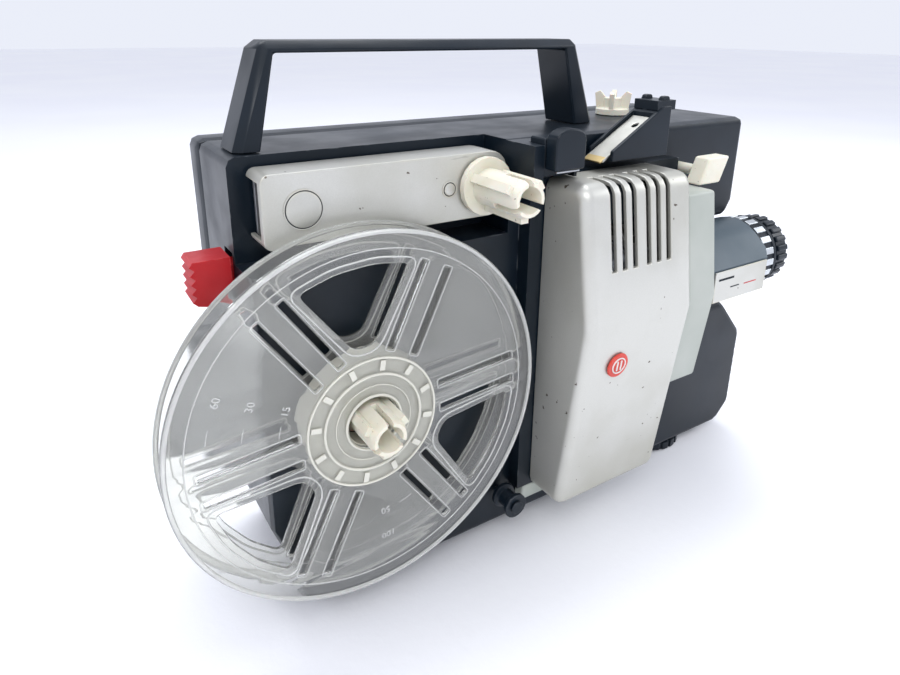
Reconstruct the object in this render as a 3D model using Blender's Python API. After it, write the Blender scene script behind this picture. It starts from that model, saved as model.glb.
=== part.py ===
"""A compact Super 8 film projector with its supply arm folded and a take-up reel fitted.

Axes: +X runs along the machine from the rear end to the lens, +Y runs from the operator's side to
the motor side, +Z is up. Shapes are laid out in machine coordinates: x from the take-up axis, y from
the outer face of the reel and z from the floor. The last step moves the whole machine so that the
origin is the bottom centre of its box.
"""

import math

import bmesh
import bpy
from mathutils import Matrix, Vector

MM = 0.001

# ---------------------------------------------------------------- driving dimensions, in metres
GAP = 0.3 * MM  # between pieces that touch
RUNNING_GAP = 0.5 * MM  # round a piece that turns or slides
BELT_GAP = 0.6 * MM  # between a belt and its pulleys

# Body
REAR_X = -31 * MM
UPPER_FRONT_X = 190 * MM
LOWER_FRONT_X = 212 * MM
LENS_FRONT_X = 178 * MM
NEAR_Y = 14 * MM
SPLIT_Y = 66 * MM
FAR_Y = 80 * MM
FOOT_HEIGHT = 5 * MM
TOP_Z = 163.5 * MM
WALL = 2.2 * MM
BODY_EDGE = 3 * MM

# Arm pocket and the hood beside it
POCKET_Y = 30 * MM
POCKET_END_X = 61 * MM
LEDGE_Z = 130.5 * MM
HOOD_END_X = 80 * MM
HOOD_DEPTH = 13 * MM
HOOD_HEIGHT = 12 * MM

# Reel, spindles and film plane
REEL_RADIUS = 63.5 * MM
REEL_WIDTH = 10.8 * MM
FLANGE = 1.2 * MM
HUB_RADIUS = 22.5 * MM
SPINDLE_CORE_RADIUS = 6.35 * MM
SPINDLE_RIB_RADIUS = 8 * MM
SPINDLE_LENGTH = 22.5 * MM
SHOULDER_RADIUS = 10 * MM
SHOULDER_THICKNESS = 2.6 * MM
AXIS_Z = 81 * MM
FILM_Y = REEL_WIDTH / 2

# Supply arm
ARM_LEFT_X = -26 * MM
ARM_RIGHT_X = 60 * MM
ARM_BOTTOM_Z = 138 * MM
ARM_HEIGHT = 22.5 * MM
ARM_FACE_Y = 14.4 * MM
ARM_DEPTH = 13.6 * MM
ARM_WALL = 1.5 * MM
ARM_LEFT_CORNER = 2.6 * MM
ARM_RIGHT_CORNER = 7 * MM
PIVOT_X = -13.7 * MM
SUPPLY_X = 50 * MM
ARM_PULLEY_RADIUS = 6.9 * MM

# Handle
HANDLE_TOP_Z = 196 * MM
HANDLE_BAR = 3.6 * MM
HANDLE_NEAR_Y = 32 * MM
HANDLE_DEPTH = 18 * MM
HANDLE_LEFT_X = -27.8 * MM
HANDLE_RIGHT_X = 117 * MM
HANDLE_CHAMFER = 2.4 * MM

# Lamp cover and gate strip
COVER_LEFT_X = 72 * MM
COVER_RIGHT_X = 125.2 * MM
COVER_BOTTOM_Z = 23 * MM
COVER_TOP_Z = 151 * MM
COVER_KNEE_Z = 101 * MM
COVER_BACK_Y = 8 * MM
COVER_KNEE_Y = -19.8 * MM
COVER_TOP_Y = -13 * MM
COVER_BOTTOM_Y = -10 * MM
COVER_BROW = 6 * MM
COVER_WALL = 1.8 * MM
COVER_EDGE = 4 * MM
STRIP_WIDTH = 16.2 * MM
STRIP_BOTTOM_Z = 63 * MM
STRIP_TOP_Z = 141.6 * MM
STRIP_STEP = 2.6 * MM
VENT_WIDTH = 2.4 * MM
VENT_BOTTOM_Z = 120.5 * MM

# Optics
LENS_Z = 104 * MM
HOUSING_FACE = 20.4 * MM  # from the lens axis to the label
HOUSING_RADIUS = 17.2 * MM
HOUSING_START_X = COVER_RIGHT_X + STRIP_WIDTH + GAP
HOUSING_END_X = 180.2 * MM
BARREL_RADIUS = 13.2 * MM
ZOOM_RADIUS = 16.5 * MM
ZOOM_START_X = 181.9 * MM
ZOOM_WIDTH = 8.6 * MM
FOCUS_RADIUS = 15.5 * MM
FOCUS_START_X = 192.6 * MM
FOCUS_WIDTH = 8.4 * MM
NOSE_RADIUS = 11.4 * MM  # the barrel, inside the focus ring
LAMP_RADIUS = 19.5 * MM
LAMP_MOUTH_X = 104 * MM
GATE_X = 128.7 * MM

# Drive
MOTOR_Y = 53 * MM
MOTOR_Z = 42 * MM
MOTOR_RADIUS = 20 * MM
MOTOR_START_X = 6 * MM
MOTOR_LENGTH = 50 * MM
FAN_RADIUS = 22 * MM
SHAFT_Y = 36 * MM
SHAFT_RADIUS = 2.5 * MM
SHUTTER_RADIUS = 35 * MM
SHUTTER_X = 112 * MM
BELT_X = 64 * MM
MOTOR_PULLEY_RADIUS = 6 * MM
MAIN_PULLEY_RADIUS = 13 * MM
PLATE_Y = 18 * MM
PLATE_THICKNESS = 2 * MM

# Controls
LEVER_WIDTH = 8.2 * MM
LEVER_REACH = 13.5 * MM
KNOB_X = 144 * MM
KNOB_Y = 49 * MM
KNOB_RADIUS = 7.3 * MM
LEVELLING_X = 168 * MM
LEVELLING_Y = 31 * MM
LEVELLING_RADIUS = 16.5 * MM

# Corners and steps of the body outline.
BODY_BOTTOM_Z = FOOT_HEIGHT
CHAMFER_RISE = 36 * MM
CHAMFER_RUN = 13 * MM
BROW_Z = 126 * MM  # underside of the upper front end, over the lens
BROW_STEP = 7 * MM
CHIN_Z = 74 * MM  # top of the lower front end, under the lens
CHIN_RISE = 19 * MM
CHIN_RUN = 17 * MM
TOE_Z = 14 * MM

# The opening in the near shell behind the lamp cover: its low and high corner in X and Z.
LAMP_WINDOW = ((COVER_LEFT_X + 2 * MM, LENS_Z - 41 * MM), (COVER_RIGHT_X + 1.5 * MM, LENS_Z + 35 * MM))

# Film path.
SPROCKET_X = 104 * MM
SPROCKET_RADIUS = 9 * MM
SPROCKET_CENTRES = (LENS_Z + 35 * MM, LENS_Z - 43 * MM)
SPROCKET_SHAFT_RADIUS = 2.2 * MM
SPROCKET_TEETH = 12
ROLLER_X = 60 * MM
ROLLER_Z = 22 * MM

# Rear lever and framing knob.
LEVER_PIVOT_X = REAR_X + 22 * MM
LEVER_PIVOT_Z = 126 * MM
LEVER_NEAR_Y = POCKET_Y + WALL + RUNNING_GAP
LEVER_HEIGHT = 15 * MM
LEVER_CLEARANCE = 1.4 * MM  # between the thumb piece and the rear wall, for the swing
LEVER_SWING = 6  # degrees each way
LEVER_PIN_RADIUS = 1.5 * MM
FRAMING_X = 147.5 * MM
FRAMING_Z = 146 * MM

# Mains inlet in the far shell.
INLET_X = REAR_X + 22 * MM
INLET_Z = 84 * MM
INLET_WIDTH = 22 * MM
INLET_HEIGHT = 15 * MM

# Threading chute.
CHUTE_START_X = 96 * MM
CHUTE_END_X = 124.5 * MM
CHUTE_BOTTOM_Z = 154.8 * MM
CHUTE_RISE = 14.5 * MM
CHUTE_NEAR_Y = 0.2 * MM
CHUTE_WIDTH = 12.6 * MM
CHUTE_WALL = 1.4 * MM

# Film cutter.
CUTTER_START_X = 65.5 * MM
CUTTER_END_X = 78.5 * MM
CUTTER_NEAR_Y = -4.5 * MM
CUTTER_FAR_Y = 9.5 * MM
CUTTER_TOP_Z = 169 * MM
CUTTER_TRAVEL = 3 * MM

# Grip ribs across the lower front end.
GRIP_START_Z = 19 * MM
GRIP_PITCH = 5 * MM
GRIP_COUNT = 6
GRIP_RADIUS = 1.6 * MM

# Round pieces
FINE = 36
COARSE = 20


# ---------------------------------------------------------------- materials

def material(name, colour, roughness, metallic=0.0, alpha=1.0):
    made = bpy.data.materials.new(name)
    made.use_nodes = True
    shader = made.node_tree.nodes["Principled BSDF"]
    shader.inputs["Base Color"].default_value = (*colour, 1.0)
    shader.inputs["Roughness"].default_value = roughness
    shader.inputs["Metallic"].default_value = metallic
    shader.inputs["Alpha"].default_value = alpha
    made.diffuse_color = (*colour, alpha)
    return made


# ---------------------------------------------------------------- shape helpers

AXES = {"X": 0, "Y": 1, "Z": 2}


def node(name, mesh_data, finish, origin=(0, 0, 0), smooth=False):
    """Makes the named object from a bmesh in machine coordinates, with its own origin."""
    mesh_data.normal_update()
    bmesh.ops.recalc_face_normals(mesh_data, faces=mesh_data.faces)
    bmesh.ops.translate(mesh_data, verts=mesh_data.verts, vec=-Vector(origin))
    mesh = bpy.data.meshes.new(name)
    mesh_data.to_mesh(mesh)
    mesh_data.free()
    if finish:
        mesh.materials.append(finish)
    if smooth:
        mesh.shade_smooth()
        mesh.set_sharp_from_angle(angle=math.radians(35))
    made = bpy.data.objects.new(name, mesh)
    made.location = origin
    bpy.context.scene.collection.objects.link(made)
    return made


def block_mesh(low, high):
    made = bmesh.new()
    bmesh.ops.create_cube(made, size=1.0)
    size = [b - a for a, b in zip(low, high)]
    middle = [(a + b) / 2 for a, b in zip(low, high)]
    bmesh.ops.scale(made, vec=size, verts=made.verts)
    bmesh.ops.translate(made, vec=middle, verts=made.verts)
    return made


def on_axis(axis, along, first, second):
    """A point from its place along the axis and its two other coordinates, in X, Y, Z order."""
    point = [first, second]
    point.insert(AXES[axis], along)
    return Vector(point)


def prism_mesh(outline, axis, start, end):
    """A closed outline in the plane square to the axis, drawn from start to end along it."""
    made = bmesh.new()
    bottom = [made.verts.new(on_axis(axis, start, a, b)) for a, b in outline]
    top = [made.verts.new(on_axis(axis, end, a, b)) for a, b in outline]
    made.faces.new(bottom)
    made.faces.new(reversed(top))
    for i in range(len(outline)):
        j = (i + 1) % len(outline)
        made.faces.new((bottom[i], top[i], top[j], bottom[j]))
    return made


def turned_mesh(profile, axis, centre, sides=FINE):
    """A closed profile of (radius, distance along the axis) turned round the axis."""
    made = bmesh.new()
    rings = []
    for radius, along in profile:
        if radius == 0:
            rings.append([made.verts.new(on_axis(axis, along, *centre))])
            continue
        ring = []
        for k in range(sides):
            angle = 2 * math.pi * k / sides
            first = centre[0] + radius * math.cos(angle)
            second = centre[1] + radius * math.sin(angle)
            ring.append(made.verts.new(on_axis(axis, along, first, second)))
        rings.append(ring)
    closes = profile[0][0] > 0 or profile[-1][0] > 0
    spans = list(zip(rings, rings[1:])) + ([(rings[-1], rings[0])] if closes else [])
    for low, high in spans:
        if len(low) == len(high) == 1:
            continue
        for k in range(sides):
            m = (k + 1) % sides
            corners = [low[k % len(low)], low[m % len(low)], high[m % len(high)], high[k % len(high)]]
            made.faces.new(list(dict.fromkeys(corners)))
    return made


def joined(parts):
    """One bmesh that holds several, as the tools of one cut."""
    whole = bmesh.new()
    for part in parts:
        bmesh.ops.recalc_face_normals(part, faces=part.faces)
        spare = bpy.data.meshes.new("spare")
        part.to_mesh(spare)
        part.free()
        whole.from_mesh(spare)
        bpy.data.meshes.remove(spare)
    return whole


def block(name, low, high, finish, edge=0.0, origin=(0, 0, 0)):
    made = node(name, block_mesh(low, high), finish, origin)
    return rounded(made, edge)


def prism(name, outline, axis, start, end, finish, edge=0.0, origin=(0, 0, 0)):
    made = node(name, prism_mesh(outline, axis, start, end), finish, origin)
    return rounded(made, edge)


def turned(name, profile, axis, centre, finish, sides=FINE, origin=(0, 0, 0)):
    return node(name, turned_mesh(profile, axis, centre, sides), finish, origin, smooth=True)


def rounded(made, edge, segments=2):
    if edge:
        bevel = made.modifiers.new("rounded_edges", "BEVEL")
        bevel.width = edge
        bevel.segments = segments
        bevel.limit_method = "ANGLE"
        bevel.angle_limit = math.radians(30)
        bevel.harden_normals = False
    return made


def boolean(made, tool, operation):
    """Adds one Boolean of this object with a helper that isn't itself part of the machine."""
    helper = tool if isinstance(tool, bpy.types.Object) else node(made.name + "_tool", tool, None)
    helper.hide_render = True
    helper.display_type = "WIRE"
    change = made.modifiers.new(helper.name, "BOOLEAN")
    change.operation = operation
    change.object = helper
    return made


def cut(made, *tools):
    for tool in tools:
        boolean(made, tool, "DIFFERENCE")
    return made


def add(made, *tools):
    for tool in tools:
        boolean(made, tool, "UNION")
    return made


def cylinder_mesh(axis, centre, radius, start, end, sides=COARSE):
    return turned_mesh([(0, start), (radius, start), (radius, end), (0, end)], axis, centre, sides)


def inset(outline, distance):
    """The outline moved inwards by one wall; its points run clockwise or anticlockwise."""
    count = len(outline)
    area = sum(
        outline[i][0] * outline[(i + 1) % count][1] - outline[(i + 1) % count][0] * outline[i][1]
        for i in range(count)
    )
    side = 1 if area > 0 else -1
    moved = []
    for i in range(count):
        here = Vector(outline[i])
        before = (here - Vector(outline[i - 1])).normalized()
        after = (Vector(outline[(i + 1) % count]) - here).normalized()
        normal_before = Vector((-before.y, before.x)) * side
        normal_after = Vector((-after.y, after.x)) * side
        middle = (normal_before + normal_after).normalized()
        moved.append(tuple(here + middle * distance / middle.dot(normal_before)))
    return moved


def rounded_outline(low, high, right, left=None, steps=5):
    """A rectangle with round corners, whose left ones may have a radius of their own."""
    left = left or right
    corners = [
        (high[0] - right, high[1] - right, right, 0),
        (low[0] + left, high[1] - left, left, 90),
        (low[0] + left, low[1] + left, left, 180),
        (high[0] - right, low[1] + right, right, 270),
    ]
    points = []
    for x, z, radius, start in corners:
        for k in range(steps + 1):
            angle = math.radians(start + 90 * k / steps)
            points.append((x + radius * math.cos(angle), z + radius * math.sin(angle)))
    return points


def housing_outline(margin=0.0):
    """The lens housing seen along the lens axis: round, with a flat face that carries the label."""
    radius = HOUSING_RADIUS + margin
    points = [(FILM_Y - HOUSING_FACE - margin, LENS_Z - 8.8 * MM - margin / 2)]
    for k in range(17):
        angle = math.radians(235 + 255 * k / 16)
        points.append((FILM_Y + radius * math.cos(angle), LENS_Z + radius * math.sin(angle)))
    return [*points, (FILM_Y - HOUSING_FACE - margin, LENS_Z + 5.2 * MM + margin / 2)]


def body_outline():
    return [
        (REAR_X + CHAMFER_RUN, BODY_BOTTOM_Z),
        (LOWER_FRONT_X - 9 * MM, BODY_BOTTOM_Z),
        (LOWER_FRONT_X, TOE_Z),
        (LOWER_FRONT_X, CHIN_Z - CHIN_RISE),
        (LOWER_FRONT_X - CHIN_RUN, CHIN_Z),
        (LENS_FRONT_X, CHIN_Z),
        (LENS_FRONT_X, BROW_Z - BROW_STEP),
        (UPPER_FRONT_X - 4 * MM, BROW_Z - BROW_STEP),
        (UPPER_FRONT_X, BROW_Z),
        (UPPER_FRONT_X, TOP_Z),
        (REAR_X, TOP_Z),
        (REAR_X, BODY_BOTTOM_Z + CHAMFER_RISE),
    ]


def grip_grooves():
    """Grooves that run across the lower front end of both shells."""
    heights = [GRIP_START_Z + k * GRIP_PITCH for k in range(GRIP_COUNT)]
    return joined([
        cylinder_mesh("Y", (LOWER_FRONT_X, height), GRIP_RADIUS, NEAR_Y - 1 * MM, FAR_Y + 1 * MM, 12)
        for height in heights
    ])


def foot_places():
    """Centre of each rubber foot under the body."""
    return [
        (REAR_X + 25 * MM, NEAR_Y + 10 * MM),
        (REAR_X + 25 * MM, FAR_Y - 12 * MM),
        (LOWER_FRONT_X - 24 * MM, FAR_Y - 12 * MM),
    ]


def near_shell(finish):
    outline = body_outline()
    shell = prism("near_shell", outline, "Y", NEAR_Y, SPLIT_Y - GAP / 2, finish, BODY_EDGE)
    hood = block_mesh(
        (POCKET_END_X, NEAR_Y - HOOD_DEPTH, TOP_Z - HOOD_HEIGHT),
        (HOOD_END_X, NEAR_Y + WALL, TOP_Z - 0.2 * MM)
    )
    add(shell, hood)
    plinth = block_mesh(
        (COVER_LEFT_X - 6 * MM, COVER_BACK_Y, COVER_BOTTOM_Z),
        (COVER_RIGHT_X + STRIP_WIDTH, NEAR_Y + WALL, COVER_TOP_Z)
    )
    add(shell, plinth)
    pocket = block_mesh(
        (REAR_X - 1 * MM, NEAR_Y - 1 * MM, LEDGE_Z), (POCKET_END_X, POCKET_Y, TOP_Z + 1 * MM)
    )
    cavity = node(
        "near_shell_cavity", prism_mesh(inset(outline, WALL), "Y", NEAR_Y + WALL, SPLIT_Y + 1 * MM), None
    )
    pocket_walls = block_mesh(
        (REAR_X - 1 * MM, NEAR_Y, LEDGE_Z - WALL), (POCKET_END_X + WALL, POCKET_Y + WALL, TOP_Z + 1 * MM)
    )
    cut(cavity, pocket_walls)
    window_low, window_high = LAMP_WINDOW
    lens_way = prism_mesh(housing_outline(GAP), "X", COVER_RIGHT_X + 1 * MM, LOWER_FRONT_X + 5 * MM)
    windows = block_mesh(
        (window_low[0], COVER_BACK_Y - 1 * MM, window_low[1]),
        (window_high[0], NEAR_Y + WALL + 1 * MM, window_high[1])
    )
    bores = [
        cylinder_mesh("Y", (0, AXIS_Z), 4.5 * MM, NEAR_Y - 1 * MM, NEAR_Y + WALL + 1 * MM),
        cylinder_mesh(
            "Y", (PIVOT_X, arm_centre_z()), 4.5 * MM, POCKET_Y - 1 * MM, POCKET_Y + WALL + 1 * MM
        ),
        cylinder_mesh("Y", (FRAMING_X, FRAMING_Z), 2.6 * MM, NEAR_Y - 1 * MM, NEAR_Y + WALL + 1 * MM),
        cylinder_mesh("Z", (KNOB_X, KNOB_Y), 3.2 * MM, TOP_Z - WALL - 1 * MM, TOP_Z + 1 * MM),
        cylinder_mesh("Z", (LEVELLING_X, LEVELLING_Y), 3.6 * MM, 0, BODY_BOTTOM_Z + WALL + 1 * MM),
    ]
    swing_room = 5 * MM + 25 * MM * math.sin(math.radians(LEVER_SWING))
    slot = block_mesh(
        (REAR_X - 1 * MM, LEVER_NEAR_Y - RUNNING_GAP + 0.1 * MM, LEVER_PIVOT_Z - swing_room),
        (REAR_X + WALL + 1 * MM, LEVER_NEAR_Y + LEVER_WIDTH + RUNNING_GAP, LEVER_PIVOT_Z + swing_room),
    )
    sprocket_bays = [
        cylinder_mesh(
            "Y", (SPROCKET_X, height), SPROCKET_RADIUS + 2.5 * MM, COVER_BACK_Y - 1 * MM,
            NEAR_Y + WALL + 1 * MM, FINE
        )
        for height in SPROCKET_CENTRES
    ]
    seat = cutter_seat_mesh()
    return cut(
        shell, pocket, cavity, lens_way, windows, joined(bores), slot, seat, grip_grooves(), *sprocket_bays
    )


def far_shell(finish):
    outline = body_outline()
    shell = prism("far_shell", outline, "Y", SPLIT_Y + GAP / 2, FAR_Y, finish, BODY_EDGE)
    cavity = prism_mesh(inset(outline, WALL), "Y", SPLIT_Y - 1 * MM, FAR_Y - WALL)
    lens_way = prism_mesh(housing_outline(GAP), "X", COVER_RIGHT_X + 1 * MM, LOWER_FRONT_X + 5 * MM)
    louvres = [
        block_mesh((x, FAR_Y - WALL - 1 * MM, 30 * MM), (x + 3 * MM, FAR_Y + 1 * MM, 66 * MM))
        for x in (MOTOR_START_X + k * 8 * MM for k in range(7))
    ]
    inlet = block_mesh(
        (INLET_X - GAP, FAR_Y - WALL - 1 * MM, INLET_Z - GAP),
        (INLET_X + INLET_WIDTH + GAP, FAR_Y + 1 * MM, INLET_Z + INLET_HEIGHT + GAP),
    )
    return cut(shell, cavity, lens_way, joined([*louvres, inlet]), grip_grooves())


def carry_handle(finish):
    """A bar on two leaning legs, with its outer edges chamfered."""
    foot_z = TOP_Z + GAP
    left, right = HANDLE_LEFT_X, HANDLE_RIGHT_X
    underside = HANDLE_TOP_Z - HANDLE_BAR
    outline = [
        (left, foot_z),
        (left + 10.8 * MM, HANDLE_TOP_Z),
        (right - 11.5 * MM, HANDLE_TOP_Z),
        (right, foot_z),
        (right - 11 * MM, foot_z),
        (right - 17.5 * MM, underside),
        (left + 14.3 * MM, underside),
        (left + 8.2 * MM, foot_z),
    ]
    handle = prism("carry_handle", outline, "Y", HANDLE_NEAR_Y, HANDLE_NEAR_Y + HANDLE_DEPTH, finish)
    outer = outline[:4]
    weights = handle.data.attributes.new("bevel_weight_edge", "FLOAT", "EDGE")
    for edge in handle.data.edges:
        ends = [handle.data.vertices[i].co for i in edge.vertices]
        on_outer = all(any(abs(e.x - x) + abs(e.z - z) < GAP for x, z in outer) for e in ends)
        on_foot = all(e.z < foot_z + GAP for e in ends)
        weights.data[edge.index].value = 0.0 if on_foot else 1.0 if on_outer else 0.25
    bevel = rounded(handle, HANDLE_CHAMFER, 1).modifiers["rounded_edges"]
    bevel.limit_method = "WEIGHT"
    return handle


def mechanism_plate(finish):
    low_z, high_z = BODY_BOTTOM_Z + 8 * MM, LEDGE_Z - 8 * MM
    start, end = REAR_X + 16 * MM, LENS_FRONT_X - 8 * MM
    plate = block(
        "mechanism_plate", (start, PLATE_Y, low_z), (end, PLATE_Y + PLATE_THICKNESS, high_z), finish
    )
    (bay_x, bay_z), _ = LAMP_WINDOW
    bay = block_mesh(
        (bay_x, PLATE_Y - 1 * MM, bay_z),
        (end + 1 * MM, PLATE_Y + PLATE_THICKNESS + 1 * MM, high_z + 1 * MM)
    )
    bores = [
        cylinder_mesh("Y", (0, AXIS_Z), 4.5 * MM, PLATE_Y - 1 * MM, PLATE_Y + PLATE_THICKNESS + 1 * MM),
        cylinder_mesh(
            "Y", (SPROCKET_X, SPROCKET_CENTRES[1]), 3.2 * MM, PLATE_Y - 1 * MM,
            PLATE_Y + PLATE_THICKNESS + 1 * MM
        ),
    ]
    return cut(plate, bay, joined(bores))


def feet(finish):
    for number, place in enumerate(foot_places(), 1):
        profile = [
            (0, 0), (6 * MM, 0), (7 * MM, 1 * MM), (7 * MM, FOOT_HEIGHT - GAP), (0, FOOT_HEIGHT - GAP)
        ]
        turned(f"rubber_foot_{number}", profile, "Z", place, finish, COARSE)


def mains_inlet(finish):
    low = (INLET_X, FAR_Y - 14 * MM, INLET_Z)
    high = (INLET_X + INLET_WIDTH, FAR_Y - 0.2 * MM, INLET_Z + INLET_HEIGHT)
    socket = block("mains_inlet", low, high, finish)
    well = block_mesh(
        (low[0] + 1.8 * MM, FAR_Y - 12 * MM, low[2] + 1.8 * MM),
        (high[0] - 1.8 * MM, FAR_Y + 1 * MM, high[2] - 1.8 * MM)
    )
    pins = [
        cylinder_mesh(
            "Y", ((low[0] + high[0]) / 2 + side * 4.3 * MM, INLET_Z + INLET_HEIGHT / 2),
            1.2 * MM, FAR_Y - 12.5 * MM, FAR_Y - 3 * MM, 12,
        )
        for side in (-1, 1)
    ]
    cut(socket, well)
    return add(socket, joined(pins))


# ---------------------------------------------------------------- lamp cover, gate strip and optics

def arm_centre_z():
    return ARM_BOTTOM_Z + ARM_HEIGHT / 2


def cover_profile(bottom, top, step=0.0, brow=0.0):
    """Outer line of the lamp cover's section as (y, z), moved in by a step, with a round brow."""
    rise = (COVER_TOP_Y - COVER_KNEE_Y) / (COVER_TOP_Z - COVER_BROW - COVER_KNEE_Z)
    fall = (COVER_BOTTOM_Y - COVER_KNEE_Y) / (COVER_KNEE_Z - COVER_BOTTOM_Z)
    bottom_y = COVER_KNEE_Y + fall * (COVER_KNEE_Z - bottom) + step
    brow_y = COVER_KNEE_Y + rise * (top - brow - COVER_KNEE_Z) + step
    points = [(COVER_BACK_Y - GAP, bottom), (bottom_y, bottom), (COVER_KNEE_Y + step, COVER_KNEE_Z)]
    steps = 4 if brow else 0
    for k in range(steps + 1):
        angle = math.pi / 2 * k / max(steps, 1)
        points.append((brow_y + brow * (1 - math.cos(angle)), top - brow * (1 - math.sin(angle))))
    return [*points, (COVER_BACK_Y - GAP, top)]


def cover_hollow(outline, bottom, top):
    """The space inside one wall of a cover, open at its back."""
    low, high = bottom + COVER_WALL, top - COVER_WALL
    front = [(y + COVER_WALL, min(max(z, low), high)) for y, z in outline[1:-1]]
    return [(COVER_BACK_Y + 1 * MM, low), *dict.fromkeys(front), (COVER_BACK_Y + 1 * MM, high)]


def vent_starts():
    """Left edge of each cooling slot: two groups of three."""
    first = COVER_LEFT_X + 11.1 * MM
    return [first + k * 5.1 * MM + (1.8 * MM if k > 2 else 0) for k in range(6)]


def lamp_cover(finish):
    outline = cover_profile(COVER_BOTTOM_Z, COVER_TOP_Z, 0, COVER_BROW)
    cover = prism("lamp_cover", outline, "X", COVER_LEFT_X, COVER_RIGHT_X, finish)
    bevel = rounded(cover, COVER_EDGE, 3).modifiers["rounded_edges"]
    bevel.limit_method = "WEIGHT"
    weights = cover.data.attributes.new("bevel_weight_edge", "FLOAT", "EDGE")
    for edge in cover.data.edges:
        first, second = [cover.data.vertices[i].co for i in edge.vertices]
        on_back = min(first.y, second.y) > COVER_BACK_Y - 1 * MM
        along = abs(first.x - second.x) > COVER_WALL
        above = along and first.z > COVER_BOTTOM_Z + 1 * MM
        weights.data[edge.index].value = 0.0 if on_back or above else 1.0
    hollow = prism_mesh(
        cover_hollow(outline, COVER_BOTTOM_Z, COVER_TOP_Z), "X", COVER_LEFT_X + COVER_WALL,
        COVER_RIGHT_X - COVER_WALL
    )
    vents = [
        block_mesh(
            (x, COVER_KNEE_Y - 1 * MM, VENT_BOTTOM_Z), (x + VENT_WIDTH, -1 * MM, COVER_TOP_Z + 1 * MM)
        )
        for x in vent_starts()
    ]
    return cut(cover, hollow, joined(vents))


def cover_badge(finish):
    """A plain round plate on the lower half of the cover, square to its slope."""
    height = COVER_KNEE_Z - 16 * MM
    slope = (COVER_BOTTOM_Y - COVER_KNEE_Y) / (COVER_KNEE_Z - COVER_BOTTOM_Z)
    face_y = COVER_KNEE_Y + slope * (COVER_KNEE_Z - height)
    profile = [(0, 0), (4.9 * MM, 0), (4.9 * MM, -0.6 * MM), (4.6 * MM, -0.9 * MM), (0, -0.9 * MM)]
    plate = turned("cover_badge", profile, "Y", (0, 0), finish, COARSE)
    plate.rotation_euler = (math.atan(slope), 0, 0)
    plate.location = (COVER_LEFT_X + 16 * MM, face_y - GAP, height)
    return plate


def gate_cover(finish):
    outline = cover_profile(STRIP_BOTTOM_Z, STRIP_TOP_Z, STRIP_STEP)
    start = COVER_RIGHT_X + GAP
    strip = prism("gate_cover", outline, "X", start, start + STRIP_WIDTH - GAP, finish)
    rounded(strip, 1.2 * MM)
    hollow = prism_mesh(
        cover_hollow(outline, STRIP_BOTTOM_Z, STRIP_TOP_Z), "X", start - 1 * MM,
        start + STRIP_WIDTH - COVER_WALL
    )
    light_way = cylinder_mesh("X", (FILM_Y, LENS_Z), 9 * MM, start, start + STRIP_WIDTH + 2 * MM)
    return cut(strip, hollow, light_way)


def base_plate(finish):
    """Pale plate behind the lower end of the lamp cover that carries the lower film guides."""
    low = (COVER_LEFT_X - 3 * MM, COVER_BACK_Y, COVER_BOTTOM_Z - 7 * MM)
    high = (COVER_RIGHT_X - 3 * MM, NEAR_Y - GAP, COVER_BOTTOM_Z - GAP)
    return block("base_plate", low, high, finish, 1 * MM)


def lamp(glass, ceramic, steel):
    mouth, depth = LAMP_MOUTH_X, 20 * MM
    steps = 5
    outer = [
        (LAMP_RADIUS * math.sqrt(0.08 + 0.92 * k / steps), mouth - depth * (1 - k / steps))
        for k in range(steps + 1)
    ]
    inner = [(r - 1.2 * MM, x + 0.6 * MM if i == 0 else x) for i, (r, x) in enumerate(outer)]
    turned("lamp_reflector", outer + inner[::-1], "X", (FILM_Y, LENS_Z), glass, COARSE)
    start = mouth - depth - 2 * MM
    bulb = [(0, start), (3 * MM, start), (4.5 * MM, start + 6 * MM), (4.5 * MM, start + 14 * MM),
            (2 * MM, start + 18 * MM), (0, start + 18.5 * MM)]
    turned("lamp_bulb", bulb, "X", (FILM_Y, LENS_Z), glass, 16)
    block(
        "lamp_socket",
        (COVER_LEFT_X + 3 * MM, FILM_Y - 8 * MM, LENS_Z - 8 * MM),
        (start - GAP, FILM_Y + 8 * MM, LENS_Z + 8 * MM),
        ceramic,
    )
    reach = LAMP_RADIUS + 1 * MM
    carrier = block(
        "lamp_carrier",
        (mouth + GAP, FILM_Y - LAMP_RADIUS + 0.5 * MM, LENS_Z - reach),
        (mouth + GAP + 1 * MM, PLATE_Y + 10 * MM, LENS_Z + reach),
        steel,
    )
    cut(carrier, cylinder_mesh("X", (FILM_Y, LENS_Z), LAMP_RADIUS - 2 * MM, mouth - 1 * MM, mouth + 3 * MM))


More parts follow.
